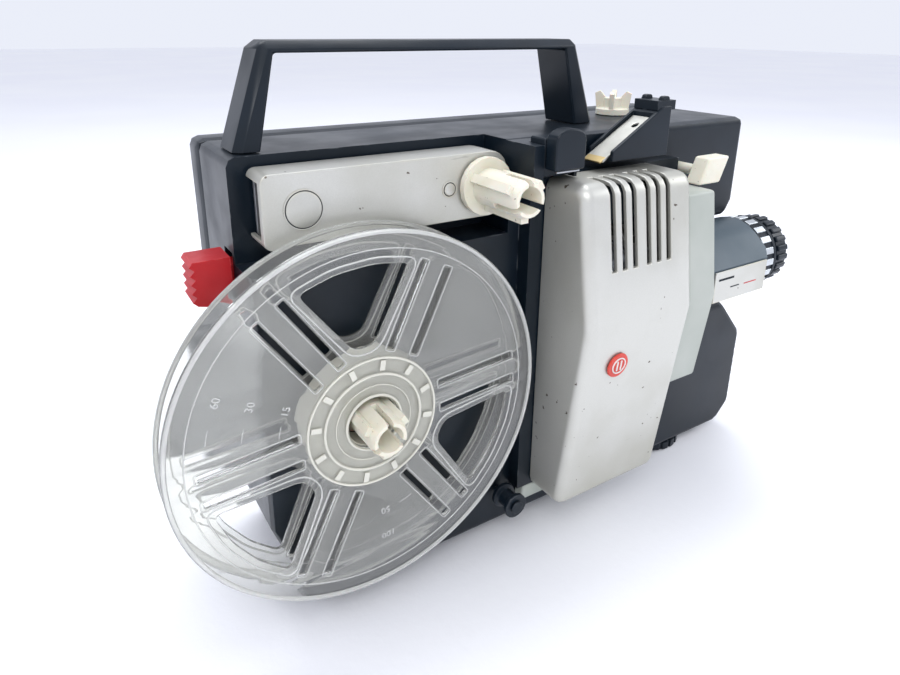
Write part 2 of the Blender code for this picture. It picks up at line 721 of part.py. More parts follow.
def gate(steel):
    half_z = 26 * MM
    gate_plate = block(
        "film_gate", (GATE_X, FILM_Y - 6 * MM, LENS_Z - half_z),
        (GATE_X + 1.2 * MM, COVER_BACK_Y - GAP, LENS_Z + half_z), steel
    )
    cut(gate_plate, block_mesh(
        (GATE_X - 1 * MM, FILM_Y - 2.7 * MM, LENS_Z - 2 * MM),
        (GATE_X + 2 * MM, FILM_Y + 2.7 * MM, LENS_Z + 2 * MM)
    ))
    pressure = block(
        "pressure_plate", (GATE_X + 1.7 * MM, FILM_Y - 5 * MM, LENS_Z - 18 * MM),
        (GATE_X + 2.9 * MM, COVER_BACK_Y - GAP, LENS_Z + 18 * MM), steel,
    )
    cut(pressure, block_mesh(
        (GATE_X, FILM_Y - 3.5 * MM, LENS_Z - 3 * MM), (GATE_X + 4 * MM, FILM_Y + 3.5 * MM, LENS_Z + 3 * MM)
    ))
    claw = block(
        "claw_arm", (GATE_X - 4.5 * MM, FILM_Y + 4 * MM, LENS_Z - 14 * MM),
        (GATE_X - 3 * MM, SHAFT_Y - 6 * MM, LENS_Z - 9 * MM),
        steel,
    )
    add(claw, block_mesh(
        (GATE_X - 4.5 * MM, FILM_Y + 4 * MM, LENS_Z - 14 * MM),
        (GATE_X - GAP, FILM_Y + 5.2 * MM, LENS_Z - 12.5 * MM)
    ))


def lens_group(housing_finish, label_finish, black, silver, glass):
    centre = (FILM_Y, LENS_Z)
    start, end = HOUSING_START_X, HOUSING_END_X
    housing = prism("lens_housing", housing_outline(), "X", start, end, housing_finish, 0.5 * MM)
    face_y = FILM_Y - HOUSING_FACE
    slant = [
        (end - 4.6 * MM, face_y - 1 * MM), (end + 1 * MM, face_y - 1 * MM), (end + 1 * MM, face_y + 5 * MM)
    ]
    cut(
        housing,
        cylinder_mesh("X", centre, BARREL_RADIUS + RUNNING_GAP, start - 1 * MM, end + 1 * MM, FINE),
        prism_mesh(slant, "Z", LENS_Z - HOUSING_FACE, LENS_Z + HOUSING_FACE),
    )
    block(
        "lens_label",
        (start + 0.4 * MM, face_y - GAP - 0.6 * MM, LENS_Z - 8.2 * MM),
        (end - 5 * MM, face_y - GAP, LENS_Z + 4.7 * MM),
        label_finish,
    )
    tube_start, tube_end = start + 3 * MM, FOCUS_START_X + FOCUS_WIDTH - 2 * MM
    step = FOCUS_START_X - 0.4 * MM
    bore = NOSE_RADIUS - 1.8 * MM
    origin = (tube_start, *centre)
    turned(
        "lens_barrel",
        [(bore, tube_start), (BARREL_RADIUS, tube_start), (BARREL_RADIUS, step),
         (NOSE_RADIUS, step), (NOSE_RADIUS, tube_end), (bore, tube_end)],
        "X", centre, black, FINE, origin,
    )
    rim = bore - GAP
    turned(
        "rear_lens",
        [(0, tube_start + 2 * MM), (6 * MM, tube_start + 1 * MM), (rim, tube_start + 2 * MM),
         (rim, tube_start + 5 * MM), (0, tube_start + 6 * MM)],
        "X", centre, glass, COARSE, origin,
    )
    turned(
        "front_lens",
        [(0, tube_end - 7 * MM), (rim, tube_end - 6 * MM), (rim, tube_end - 3 * MM),
         (6 * MM, tube_end - 1.6 * MM), (0, tube_end - 1 * MM)],
        "X", centre, glass, COARSE, origin,
    )
    bore = BARREL_RADIUS + RUNNING_GAP
    end = ZOOM_START_X + ZOOM_WIDTH
    turned(
        "zoom_ring",
        [(bore, ZOOM_START_X), (ZOOM_RADIUS, ZOOM_START_X), (ZOOM_RADIUS, end), (bore, end)],
        "X", centre, silver, FINE, (ZOOM_START_X, *centre),
    )
    bore = NOSE_RADIUS + RUNNING_GAP
    end = FOCUS_START_X + FOCUS_WIDTH
    turned(
        "focus_ring",
        [(bore, FOCUS_START_X), (FOCUS_RADIUS, FOCUS_START_X), (FOCUS_RADIUS, end),
         (bore + 1.5 * MM, end), (bore, end - 1.6 * MM)],
        "X", centre, black, FINE, (FOCUS_START_X, *centre),
    )


# ---------------------------------------------------------------- drive

def drive(steel, black, brass, rubber, copper):
    motor_centre = (MOTOR_Y, MOTOR_Z)
    shaft_centre = (SHAFT_Y, LENS_Z)
    motor_end = MOTOR_START_X + MOTOR_LENGTH
    turned(
        "motor",
        [(SHAFT_RADIUS + RUNNING_GAP, MOTOR_START_X), (MOTOR_RADIUS - 2 * MM, MOTOR_START_X),
         (MOTOR_RADIUS, MOTOR_START_X + 2 * MM), (MOTOR_RADIUS, motor_end - 2 * MM),
         (MOTOR_RADIUS - 2 * MM, motor_end), (SHAFT_RADIUS + RUNNING_GAP, motor_end)],
        "X", motor_centre, steel, COARSE,
    )
    origin = (MOTOR_START_X, *motor_centre)
    node(
        "motor_shaft",
        cylinder_mesh("X", motor_centre, SHAFT_RADIUS, MOTOR_START_X - 21 * MM, BELT_X + 10 * MM, 16),
        steel, origin, smooth=True,
    )
    fan_start = MOTOR_START_X - 18 * MM
    hub = turned(
        "fan",
        [(SHAFT_RADIUS + GAP, fan_start), (9 * MM, fan_start), (9 * MM, fan_start + 10 * MM),
         (SHAFT_RADIUS + GAP, fan_start + 10 * MM)],
        "X", motor_centre, black, COARSE, origin,
    )
    blades = []
    for k in range(8):
        blade = block_mesh(
            (fan_start + 1 * MM, 8 * MM, -0.8 * MM), (fan_start + 9 * MM, FAN_RADIUS, 0.8 * MM)
        )
        turn = Matrix.Rotation(2 * math.pi * k / 8, 4, "X")
        bmesh.ops.transform(blade, matrix=Matrix.Translation((0, *motor_centre)) @ turn, verts=blade.verts)
        blades.append(blade)
    fan_blades = node("fan_blades", joined(blades), None)
    add(hub, fan_blades)

    def pulley(name, radius, centre, start, width, shaft_radius, axis, finish, where):
        groove = 1.5 * MM
        turned(
            name,
            [(shaft_radius + GAP, start), (radius, start), (radius, start + 1.4 * MM),
             (radius - groove, start + width / 2), (radius, start + width - 1.4 * MM),
             (radius, start + width),
             (shaft_radius + GAP, start + width)],
            axis, centre, finish, COARSE, where,
        )

    pulley(
        "motor_pulley", MOTOR_PULLEY_RADIUS, motor_centre, BELT_X, 8 * MM, SHAFT_RADIUS, "X", brass, origin
    )
    main_origin = (BELT_X, *shaft_centre)
    pulley(
        "main_pulley", MAIN_PULLEY_RADIUS, shaft_centre, BELT_X, 8 * MM, SHAFT_RADIUS, "X", black,
        main_origin
    )
    node(
        "main_shaft",
        cylinder_mesh("X", shaft_centre, SHAFT_RADIUS, BELT_X - 5 * MM, SHUTTER_X + 8 * MM, 16),
        steel, main_origin, smooth=True,
    )
    disc = turned(
        "shutter_disc",
        [(SHAFT_RADIUS + GAP, SHUTTER_X), (SHUTTER_RADIUS, SHUTTER_X), (SHUTTER_RADIUS, SHUTTER_X + 0.8 * MM),
         (SHAFT_RADIUS + GAP, SHUTTER_X + 0.8 * MM)],
        "X", shaft_centre, black, FINE, main_origin,
    )
    openings = []
    for k in range(3):
        middle = math.radians(120 * k + 60)
        wedge = [
            (20 * MM * math.cos(middle + side), 20 * MM * math.sin(middle + side))
            for side in (-0.5, 0.5)
        ]
        wedge += [
            (44 * MM * math.cos(middle + side), 44 * MM * math.sin(middle + side))
            for side in (0.5, -0.5)
        ]
        shifted = [(a + shaft_centre[0], b + shaft_centre[1]) for a, b in wedge]
        openings.append(prism_mesh(shifted, "X", SHUTTER_X - 1 * MM, SHUTTER_X + 2 * MM))
    cut(disc, joined(openings))
    belt(rubber, motor_centre, shaft_centre)
    for number, height in enumerate(SPROCKET_CENTRES, 1):
        wheel = turned(
            f"sprocket_{number}",
            [(0, FILM_Y - 4.4 * MM), (SPROCKET_RADIUS, FILM_Y - 4.4 * MM),
             (SPROCKET_RADIUS, FILM_Y - 2.6 * MM),
             (SPROCKET_RADIUS - 1.2 * MM, FILM_Y - 2.2 * MM),
             (SPROCKET_RADIUS - 1.2 * MM, FILM_Y + 2.2 * MM),
             (SPROCKET_RADIUS, FILM_Y + 2.6 * MM), (SPROCKET_RADIUS, FILM_Y + 4.4 * MM),
             (SPROCKET_SHAFT_RADIUS, FILM_Y + 4.4 * MM),
             (SPROCKET_SHAFT_RADIUS, PLATE_Y + 8 * MM), (0, PLATE_Y + 8 * MM)],
            "Y", (SPROCKET_X, height), black, COARSE, (SPROCKET_X, FILM_Y, height),
        )
        teeth = []
        for k in range(SPROCKET_TEETH):
            tooth = block_mesh(
                (SPROCKET_RADIUS - 0.8 * MM, FILM_Y + 3 * MM, -0.5 * MM),
                (SPROCKET_RADIUS + 0.9 * MM, FILM_Y + 4 * MM, 0.5 * MM)
            )
            turn = Matrix.Rotation(2 * math.pi * k / SPROCKET_TEETH, 4, "Y")
            bmesh.ops.transform(
                tooth, matrix=Matrix.Translation((SPROCKET_X, 0, height)) @ turn, verts=tooth.verts
            )
            teeth.append(tooth)
        add(wheel, joined(teeth))
    core_low = (COVER_RIGHT_X - 19.7 * MM, PLATE_Y + 12 * MM, BODY_BOTTOM_Z + 9 * MM)
    core_high = (core_low[0] + 56 * MM, core_low[1] + 34 * MM, core_low[2] + 46 * MM)
    transformer = block("transformer", core_low, core_high, steel)
    coil = block_mesh(
        (core_low[0] + 11 * MM, core_low[1] - 7 * MM, core_low[2] + 8 * MM),
        (core_high[0] - 11 * MM, core_high[1] + 7 * MM, core_high[2] - 8 * MM),
    )
    add(transformer, coil)
    transformer.data.materials.append(copper)


def belt(finish, first, second):
    """A round belt laid over the two pulleys, clear of them by a small gap."""
    low, high = Vector(first), Vector(second)
    span = high - low
    reach = span.length
    turn = math.atan2(span.y, span.x)
    small = MOTOR_PULLEY_RADIUS + BELT_GAP
    large = MAIN_PULLEY_RADIUS + BELT_GAP
    lean = math.acos((large - small) / reach)

    def loop(offset):
        points = []
        for k in range(9):
            angle = turn + lean + (2 * math.pi - 2 * lean) * k / 8
            points.append(low + Vector((math.cos(angle), math.sin(angle))) * (small + offset))
        for k in range(13):
            angle = turn - lean + 2 * lean * k / 12
            points.append(high + Vector((math.cos(angle), math.sin(angle))) * (large + offset))
        return [tuple(p) for p in points]

    outer = prism("drive_belt", loop(1.6 * MM), "X", BELT_X + 2.6 * MM, BELT_X + 5.4 * MM, finish)
    return cut(outer, prism_mesh(loop(0), "X", BELT_X, BELT_X + 8 * MM))


# ---------------------------------------------------------------- reels and spindles

def spindle(name, place, shoulder_y, tail_y, shaft_radius, finish):
    """An ivory spindle: a shoulder disc, a hollow core with three ribs and a slotted tip."""
    x, z = place
    tip_y = shoulder_y - SPINDLE_LENGTH
    bore = SPINDLE_CORE_RADIUS - 2 * MM
    body = turned(
        name,
        [(0, tip_y + 14 * MM), (bore, tip_y + 14 * MM), (bore, tip_y),
         (SPINDLE_CORE_RADIUS - 0.8 * MM, tip_y),
         (SPINDLE_CORE_RADIUS, tip_y + 2 * MM), (SPINDLE_CORE_RADIUS, shoulder_y),
         (SHOULDER_RADIUS, shoulder_y),
         (SHOULDER_RADIUS, shoulder_y + SHOULDER_THICKNESS - 0.2 * MM),
         (shaft_radius, shoulder_y + SHOULDER_THICKNESS),
         (shaft_radius, tail_y), (0, tail_y)],
        "Y", place, finish, COARSE, (x, FILM_Y, z),
    )
    ribs = []
    slots = []
    for k in range(3):
        turn = Matrix.Translation((x, 0, z)) @ Matrix.Rotation(2 * math.pi * k / 3 + math.pi / 2, 4, "Y")
        rib = block_mesh(
            (SPINDLE_CORE_RADIUS - 1 * MM, tip_y + 2.5 * MM, -1.5 * MM),
            (SPINDLE_RIB_RADIUS, shoulder_y + 0.1 * MM, 1.5 * MM)
        )
        slot = block_mesh((0, tip_y - 1 * MM, -1 * MM), (SPINDLE_RIB_RADIUS, tip_y + 12 * MM, 1 * MM))
        half_turn = Matrix.Rotation(math.pi / 3, 4, "Y")
        bmesh.ops.transform(rib, matrix=turn, verts=rib.verts)
        bmesh.ops.transform(slot, matrix=turn @ half_turn, verts=slot.verts)
        ribs.append(rib)
        slots.append(slot)
    add(body, joined(ribs))
    slot_tool = slots[0]
    cut(body, slot_tool, *slots[1:])
    return body


def reel(finish):
    inner = SPINDLE_RIB_RADIUS + RUNNING_GAP
    origin = (0, FILM_Y, AXIS_Z)

    def flange(name, start):
        disc = turned(
            name,
            [(inner, start), (REEL_RADIUS, start), (REEL_RADIUS, start + FLANGE), (inner, start + FLANGE)],
            "Y", (0, AXIS_Z), finish, 2 * FINE, origin,
        )
        windows = []
        for k in range(3):
            turn = Matrix.Translation((0, 0, AXIS_Z)) @ Matrix.Rotation(-math.radians(95 + 120 * k), 4, "Y")
            outline = [
                (27 * MM, -4 * MM), (50 * MM, -17.5 * MM), (53 * MM, 0), (50 * MM, 17.5 * MM),
                (27 * MM, 4 * MM)
            ]
            window = prism_mesh([(a, b) for a, b in outline], "Y", start - 1 * MM, start + FLANGE + 1 * MM)
            bmesh.ops.transform(window, matrix=turn, verts=window.verts)
            windows.append(window)
        for k in range(6):
            for side in (-1, 1):
                turn = Matrix.Translation((0, 0, AXIS_Z)) @ Matrix.Rotation(
                    -math.radians(5 + 60 * k), 4, "Y"
                )
                slot = block_mesh(
                    (25 * MM, start - 1 * MM, side * 4.6 * MM - 1.1 * MM),
                    (54 * MM, start + FLANGE + 1 * MM, side * 4.6 * MM + 1.1 * MM)
                )
                bmesh.ops.transform(slot, matrix=turn, verts=slot.verts)
                windows.append(slot)
        return cut(disc, joined(windows))

    flange("reel_front_flange", 0)
    flange("reel_back_flange", REEL_WIDTH - FLANGE)
    low, high = FLANGE + GAP / 2, REEL_WIDTH - FLANGE - GAP / 2
    turned(
        "reel_hub",
        [(inner, low), (HUB_RADIUS, low), (HUB_RADIUS, high), (HUB_RADIUS - 2 * MM, high),
         (HUB_RADIUS - 2 * MM, low + 2 * MM), (inner + 2 * MM, low + 2 * MM), (inner + 2 * MM, high),
         (inner, high)],
        "Y", (0, AXIS_Z), finish, FINE, origin,
    )


def takeup(ivory, black):
    shoulder_y = REEL_WIDTH + GAP
    tail_y = PLATE_Y + PLATE_THICKNESS + 7 * MM
    spindle("takeup_spindle", (0, AXIS_Z), shoulder_y, tail_y, 4 * MM, ivory)
    start = PLATE_Y + PLATE_THICKNESS + 1 * MM
    turned(
        "takeup_pulley",
        [(4 * MM + GAP, start), (18 * MM, start), (18 * MM, start + 1.4 * MM), (16.5 * MM, start + 2.5 * MM),
         (18 * MM, start + 3.6 * MM), (18 * MM, start + 5 * MM), (4 * MM + GAP, start + 5 * MM)],
        "Y", (0, AXIS_Z), black, COARSE, (0, FILM_Y, AXIS_Z),
    )


# ---------------------------------------------------------------- supply arm

def supply_arm(silver, ivory, black, steel, rubber):
    centre_z = arm_centre_z()
    origin = (PIVOT_X, ARM_FACE_Y, centre_z)
    low, high = (ARM_LEFT_X, ARM_BOTTOM_Z), (ARM_RIGHT_X, ARM_BOTTOM_Z + ARM_HEIGHT)
    back_y = ARM_FACE_Y + ARM_DEPTH
    outline = rounded_outline(low, high, ARM_RIGHT_CORNER, ARM_LEFT_CORNER)
    shell = prism("supply_arm", outline, "Y", ARM_FACE_Y, back_y, silver, 0, origin)
    inner = rounded_outline(
        (low[0] + ARM_WALL, low[1] + ARM_WALL), (high[0] - ARM_WALL, high[1] - ARM_WALL),
        ARM_RIGHT_CORNER - ARM_WALL, ARM_LEFT_CORNER - ARM_WALL,
    )
    open_end = block_mesh(
        (low[0] - 1 * MM, ARM_FACE_Y + 3 * MM, low[1] + ARM_LEFT_CORNER),
        (low[0] + ARM_LEFT_CORNER, back_y + 1 * MM, high[1] - ARM_LEFT_CORNER),
    )
    bores = [
        cylinder_mesh(
            "Y", (PIVOT_X, centre_z), 5.35 * MM, ARM_FACE_Y - 1 * MM, ARM_FACE_Y + ARM_WALL + 1 * MM
        ),
        cylinder_mesh(
            "Y", (SUPPLY_X, centre_z), 4.5 * MM, ARM_FACE_Y - 1 * MM, ARM_FACE_Y + ARM_WALL + 1 * MM
        ),
    ]
    cut(shell, prism_mesh(inner, "Y", ARM_FACE_Y + ARM_WALL, back_y + 1 * MM), joined(bores), open_end)
    fit = ARM_WALL + GAP
    lid = rounded_outline(
        (low[0] + fit, low[1] + fit), (high[0] - fit, high[1] - fit), ARM_RIGHT_CORNER - fit,
        ARM_LEFT_CORNER - fit
    )
    back = prism("arm_back_plate", lid, "Y", back_y - 1.8 * MM, back_y - 0.3 * MM, black, 0, origin)
    cut(back, cylinder_mesh("Y", (PIVOT_X, centre_z), 4 * MM + GAP, back_y - 3 * MM, back_y + 1 * MM))
    turned(
        "arm_pivot_pin",
        [(0, ARM_FACE_Y - 0.2 * MM), (5.35 * MM - GAP, ARM_FACE_Y - 0.2 * MM),
         (5.35 * MM - GAP, ARM_FACE_Y + 2.5 * MM),
         (4 * MM, ARM_FACE_Y + 2.5 * MM), (4 * MM, POCKET_Y + WALL + 4 * MM),
         (0, POCKET_Y + WALL + 4 * MM)],
        "Y", (PIVOT_X, centre_z), steel, COARSE, origin,
    )
    shoulder_y = REEL_WIDTH + GAP
    spindle(
        "supply_spindle", (SUPPLY_X, centre_z), shoulder_y, back_y - 1.8 * MM - RUNNING_GAP, 4 * MM, ivory
    )
    start = ARM_FACE_Y + ARM_WALL + 1.2 * MM
    turned(
        "supply_pulley",
        [
            (4 * MM + GAP, start), (ARM_PULLEY_RADIUS, start), (ARM_PULLEY_RADIUS, start + 5 * MM),
            (4 * MM + GAP, start + 5 * MM)
        ],
        "Y", (SUPPLY_X, centre_z), black, COARSE, (SUPPLY_X, FILM_Y, centre_z),
    )
    reach = ARM_PULLEY_RADIUS + 1.2 * MM
    loop = rounded_outline(
        (PIVOT_X - reach, centre_z - reach), (SUPPLY_X + reach, centre_z + reach), reach - 0.1 * MM, None, 8
    )
    inside = reach - 0.9 * MM
    hollow = rounded_outline(
        (PIVOT_X - inside, centre_z - inside), (SUPPLY_X + inside, centre_z + inside), inside - 0.1 * MM,
        None, 8
    )
    band = prism("arm_belt", loop, "Y", start + 1 * MM, start + 4 * MM, rubber, 0, origin)
    cut(band, prism_mesh(hollow, "Y", start, start + 5 * MM))


# ---------------------------------------------------------------- threading chute, cutter and controls



def chute(black, metal):
    low_z = CHUTE_BOTTOM_Z + 3.8 * MM
    high_z = low_z + CHUTE_RISE
    origin = (CHUTE_START_X, FILM_Y, CHUTE_BOTTOM_Z + 2 * MM)
    far_y = CHUTE_NEAR_Y + CHUTE_WIDTH
    outline = [
        (CHUTE_START_X, CHUTE_BOTTOM_Z),
        (CHUTE_END_X, CHUTE_BOTTOM_Z),
        (CHUTE_END_X, high_z),
        (CHUTE_END_X - 4 * MM, high_z),
        (CHUTE_START_X, low_z),
    ]
    body = prism("film_chute", outline, "Y", CHUTE_NEAR_Y, far_y, black, 0.5 * MM, origin)
    run = CHUTE_END_X - 4 * MM - CHUTE_START_X
    slope = CHUTE_RISE / run
    depth = 2.6 * MM
    channel = [
        (CHUTE_START_X - 5 * MM, low_z - depth - 5 * MM * slope),
        (CHUTE_END_X - 8 * MM, low_z - depth + (run - 4 * MM) * slope),
        (CHUTE_END_X - 8 * MM, high_z + 3 * MM),
        (CHUTE_START_X - 5 * MM, high_z + 3 * MM),
    ]
    cut(body, prism_mesh(channel, "Y", CHUTE_NEAR_Y + CHUTE_WALL, far_y - CHUTE_WALL))
    cap = block_mesh(
        (CHUTE_END_X - 7 * MM, CHUTE_NEAR_Y + 0.6 * MM, high_z - 1.5 * MM),
        (CHUTE_END_X + 2.5 * MM, far_y - 0.6 * MM, high_z + 2 * MM)
    )
    add(body, cap)
    lift = 0.9 * MM
    sheet = [
        (CHUTE_START_X - 3 * MM, low_z - depth + GAP - 3 * MM * slope),
        (CHUTE_END_X - 8.4 * MM, low_z - depth + GAP + (run - 4.4 * MM) * slope),
        (CHUTE_END_X - 8.4 * MM, low_z - depth + GAP + (run - 4.4 * MM) * slope + lift),
        (CHUTE_START_X - 3 * MM, low_z - depth + GAP - 3 * MM * slope + lift),
    ]
    liner = prism(
        "chute_liner", sheet, "Y", CHUTE_NEAR_Y + CHUTE_WALL + GAP, far_y - CHUTE_WALL - GAP, metal, 0,
        origin
    )
    cut(
        liner,
        cylinder_mesh("Z", (CHUTE_END_X - 13 * MM, FILM_Y), 1.3 * MM, CHUTE_BOTTOM_Z, high_z + 2 * MM, 12)
    )


def cutter_seat_mesh():
    """The opening in the hood that holds the film cutter."""
    return block_mesh(
        (CUTTER_START_X - GAP, NEAR_Y - HOOD_DEPTH - 1 * MM, TOP_Z - HOOD_HEIGHT - 1 * MM),
        (CUTTER_END_X + GAP, CUTTER_FAR_Y + GAP, TOP_Z + 1 * MM),
    )


def arch(start, end, bottom, top, steps=8):
    """An upright outline whose top is a flat arc."""
    radius = (end - start) / 2
    rise = min(radius, top - bottom) * 0.55
    middle = (start + end) / 2
    points = [(start, bottom), (end, bottom)]
    for k in range(steps + 1):
        angle = math.pi * k / steps
        points.append((middle + radius * math.cos(angle), top - rise + rise * math.sin(angle)))
    return points


def film_cutter(black, steel):
    bottom = TOP_Z - HOOD_HEIGHT + 0.8 * MM
    split = CUTTER_NEAR_Y + 5.5 * MM
    block(
        "cutter_block", (CUTTER_START_X, split + RUNNING_GAP, bottom),
        (CUTTER_END_X, CUTTER_FAR_Y, TOP_Z + 2 * MM), black, 0.6 * MM
    )
    press = prism(
        "cutter_press", arch(CUTTER_START_X, CUTTER_END_X, bottom + CUTTER_TRAVEL, CUTTER_TOP_Z), "Y",
        CUTTER_NEAR_Y, split, black, 0.5 * MM,
        ((CUTTER_START_X + CUTTER_END_X) / 2, CUTTER_NEAR_Y, CUTTER_TOP_Z),
    )
    block(
        "cutter_blade",
        (CUTTER_START_X + 1.5 * MM, CUTTER_NEAR_Y + 1 * MM, bottom + CUTTER_TRAVEL - 0.9 * MM),
        (CUTTER_END_X - 1.5 * MM, CUTTER_NEAR_Y + 1.8 * MM, bottom + CUTTER_TRAVEL - GAP),
        steel,
    )
    return press


def control_lever(red, steel):
    """Thumb lever at the rear end, ribbed on its end face, that rocks on a pivot inside the body."""
    half = LEVER_HEIGHT / 2
    end = REAR_X - LEVER_REACH
    root = REAR_X - LEVER_CLEARANCE
    count = 5
    pitch = (LEVER_HEIGHT - 1 * MM) / count
    ribs = []
    for k in range(count):
        low = LEVER_PIVOT_Z - half + 1 * MM + k * pitch
        ribs += [(end + 1.4 * MM, low), (end, low + pitch / 2)]
    head = [
        (root, LEVER_PIVOT_Z - half - 1.5 * MM), *ribs, (end + 1 * MM, LEVER_PIVOT_Z + half),
        (root, LEVER_PIVOT_Z + half)
    ]
    near, far = LEVER_NEAR_Y, LEVER_NEAR_Y + LEVER_WIDTH
    pivot = (LEVER_PIVOT_X, LEVER_PIVOT_Z)
    lever = prism(
        "control_lever", head, "Y", near - 3.4 * MM, far, red, 0, (LEVER_PIVOT_X, near, LEVER_PIVOT_Z)
    )
    shank = block_mesh(
        (root - 2 * MM, near, LEVER_PIVOT_Z - 4 * MM),
        (LEVER_PIVOT_X + 5 * MM, far - 1 * MM, LEVER_PIVOT_Z + 4 * MM)
    )
    add(lever, shank)
    cut(lever, cylinder_mesh("Y", pivot, LEVER_PIN_RADIUS + RUNNING_GAP, near - 1 * MM, far + 1 * MM, 16))
    node(
        "lever_pin", cylinder_mesh("Y", pivot, LEVER_PIN_RADIUS, near, SPLIT_Y - 6 * MM, 16), steel,
        smooth=True
    )


def knobs(ivory):
    base = TOP_Z + GAP
    origin = (KNOB_X, KNOB_Y, base)
    knob = turned(
        "speed_knob",
        [(0, TOP_Z - WALL - 4 * MM), (2.7 * MM, TOP_Z - WALL - 4 * MM), (2.7 * MM, base), (KNOB_RADIUS, base),
         (KNOB_RADIUS, base + 2.4 * MM), (4 * MM, base + 3 * MM), (4 * MM, base + 7 * MM),
         (0, base + 7 * MM)],
        "Z", (KNOB_X, KNOB_Y), ivory, COARSE, origin,
    )
    wings = []
    for k in range(4):
        fin = prism_mesh(
            [(0, base + 1 * MM), (KNOB_RADIUS - 0.5 * MM, base + 1 * MM),
             (KNOB_RADIUS + 0.6 * MM, base + 9 * MM),
             (KNOB_RADIUS - 1.6 * MM, base + 10 * MM), (2 * MM, base + 6 * MM)],
            "Y", -1 * MM, 1 * MM,
        )
        turn = Matrix.Translation((KNOB_X, KNOB_Y, 0)) @ Matrix.Rotation(math.radians(40 + 90 * k), 4, "Z")
        bmesh.ops.transform(fin, matrix=turn, verts=fin.verts)
        wings.append(fin)
    add(knob, *wings)
    lean = 2.2 * MM
    low, high = FRAMING_Z - 3.8 * MM, FRAMING_Z + 6.5 * MM
    half = 6.2 * MM
    outline = [
        (FRAMING_X - half - lean, low), (FRAMING_X + half - lean, low), (FRAMING_X + half + lean, high),
        (FRAMING_X - half + lean, high)
    ]
    bar = prism(
        "framing_knob", outline, "Y", -5 * MM, 2 * MM, ivory, 0.8 * MM, (FRAMING_X, NEAR_Y, FRAMING_Z)
    )
    stem = cylinder_mesh("Y", (FRAMING_X, FRAMING_Z), 2.2 * MM, 1 * MM, NEAR_Y + WALL + 4 * MM, 16)
    return add(bar, stem)


def levelling_foot(black):
    """Front foot: a knurled wheel on a screw that raises the lens end."""
    place = (LEVELLING_X, LEVELLING_Y)
    top = BODY_BOTTOM_Z - GAP
    foot = turned(
        "levelling_foot",
        [(0, 0), (LEVELLING_RADIUS - 2 * MM, 0), (LEVELLING_RADIUS, 1 * MM), (LEVELLING_RADIUS, top),
         (3 * MM, top), (3 * MM, BODY_BOTTOM_Z + 16 * MM), (0, BODY_BOTTOM_Z + 16 * MM)],
        "Z", place, black, FINE, (*place, 0),
    )
    notches = []
    for k in range(20):
        turn = Matrix.Translation((*place, 0)) @ Matrix.Rotation(2 * math.pi * k / 20, 4, "Z")
        notch = block_mesh(
            (LEVELLING_RADIUS - 1 * MM, -0.9 * MM, -1 * MM),
            (LEVELLING_RADIUS + 1 * MM, 0.9 * MM, BODY_BOTTOM_Z)
        )
        bmesh.ops.transform(notch, matrix=turn, verts=notch.verts)
        notches.append(notch)
    return cut(foot, joined(notches))


def guide_roller(black, steel):
    """Small film roller low on the operator's face, between the gate and the take-up reel."""
    place = (ROLLER_X, ROLLER_Z)
    turned(
        "guide_roller",
        [(1.5 * MM + RUNNING_GAP, FILM_Y - 4.6 * MM), (5 * MM, FILM_Y - 4.6 * MM), (5 * MM, FILM_Y - 3 * MM),
         (3.4 * MM, FILM_Y - 2.4 * MM), (3.4 * MM, FILM_Y + 2.4 * MM), (5 * MM, FILM_Y + 3 * MM),
         (5 * MM, FILM_Y + 4.6 * MM),
         (1.5 * MM + RUNNING_GAP, FILM_Y + 4.6 * MM)],
        "Y", place, black, COARSE, (ROLLER_X, FILM_Y, ROLLER_Z),
    )
    turned(
        "roller_pin",
        [(0, FILM_Y - 5.6 * MM), (2.6 * MM, FILM_Y - 5.6 * MM), (2.6 * MM, FILM_Y - 5 * MM),
         (1.5 * MM, FILM_Y - 5 * MM),
         (1.5 * MM, NEAR_Y - GAP), (0, NEAR_Y - GAP)],
        "Y", place, steel, 16,
    )


# ---------------------------------------------------------------- assembly

def stand_on_origin():
    """Moves the machine so that the bottom centre of its box is the origin."""
    bpy.context.view_layer.update()
    graph = bpy.context.evaluated_depsgraph_get()
    shown = [made for made in bpy.data.objects if made.type == "MESH" and not made.hide_render]
    corners = []
    for made in shown:
        evaluated = made.evaluated_get(graph)
        corners += [evaluated.matrix_world @ v.co for v in evaluated.data.vertices]
    low = [min(c[i] for c in corners) for i in range(3)]
    high = [max(c[i] for c in corners) for i in range(3)]
    shift = Vector((-(low[0] + high[0]) / 2, -(low[1] + high[1]) / 2, -low[2]))
    for made in bpy.data.objects:
        if made.parent is None:
            made.location += shift


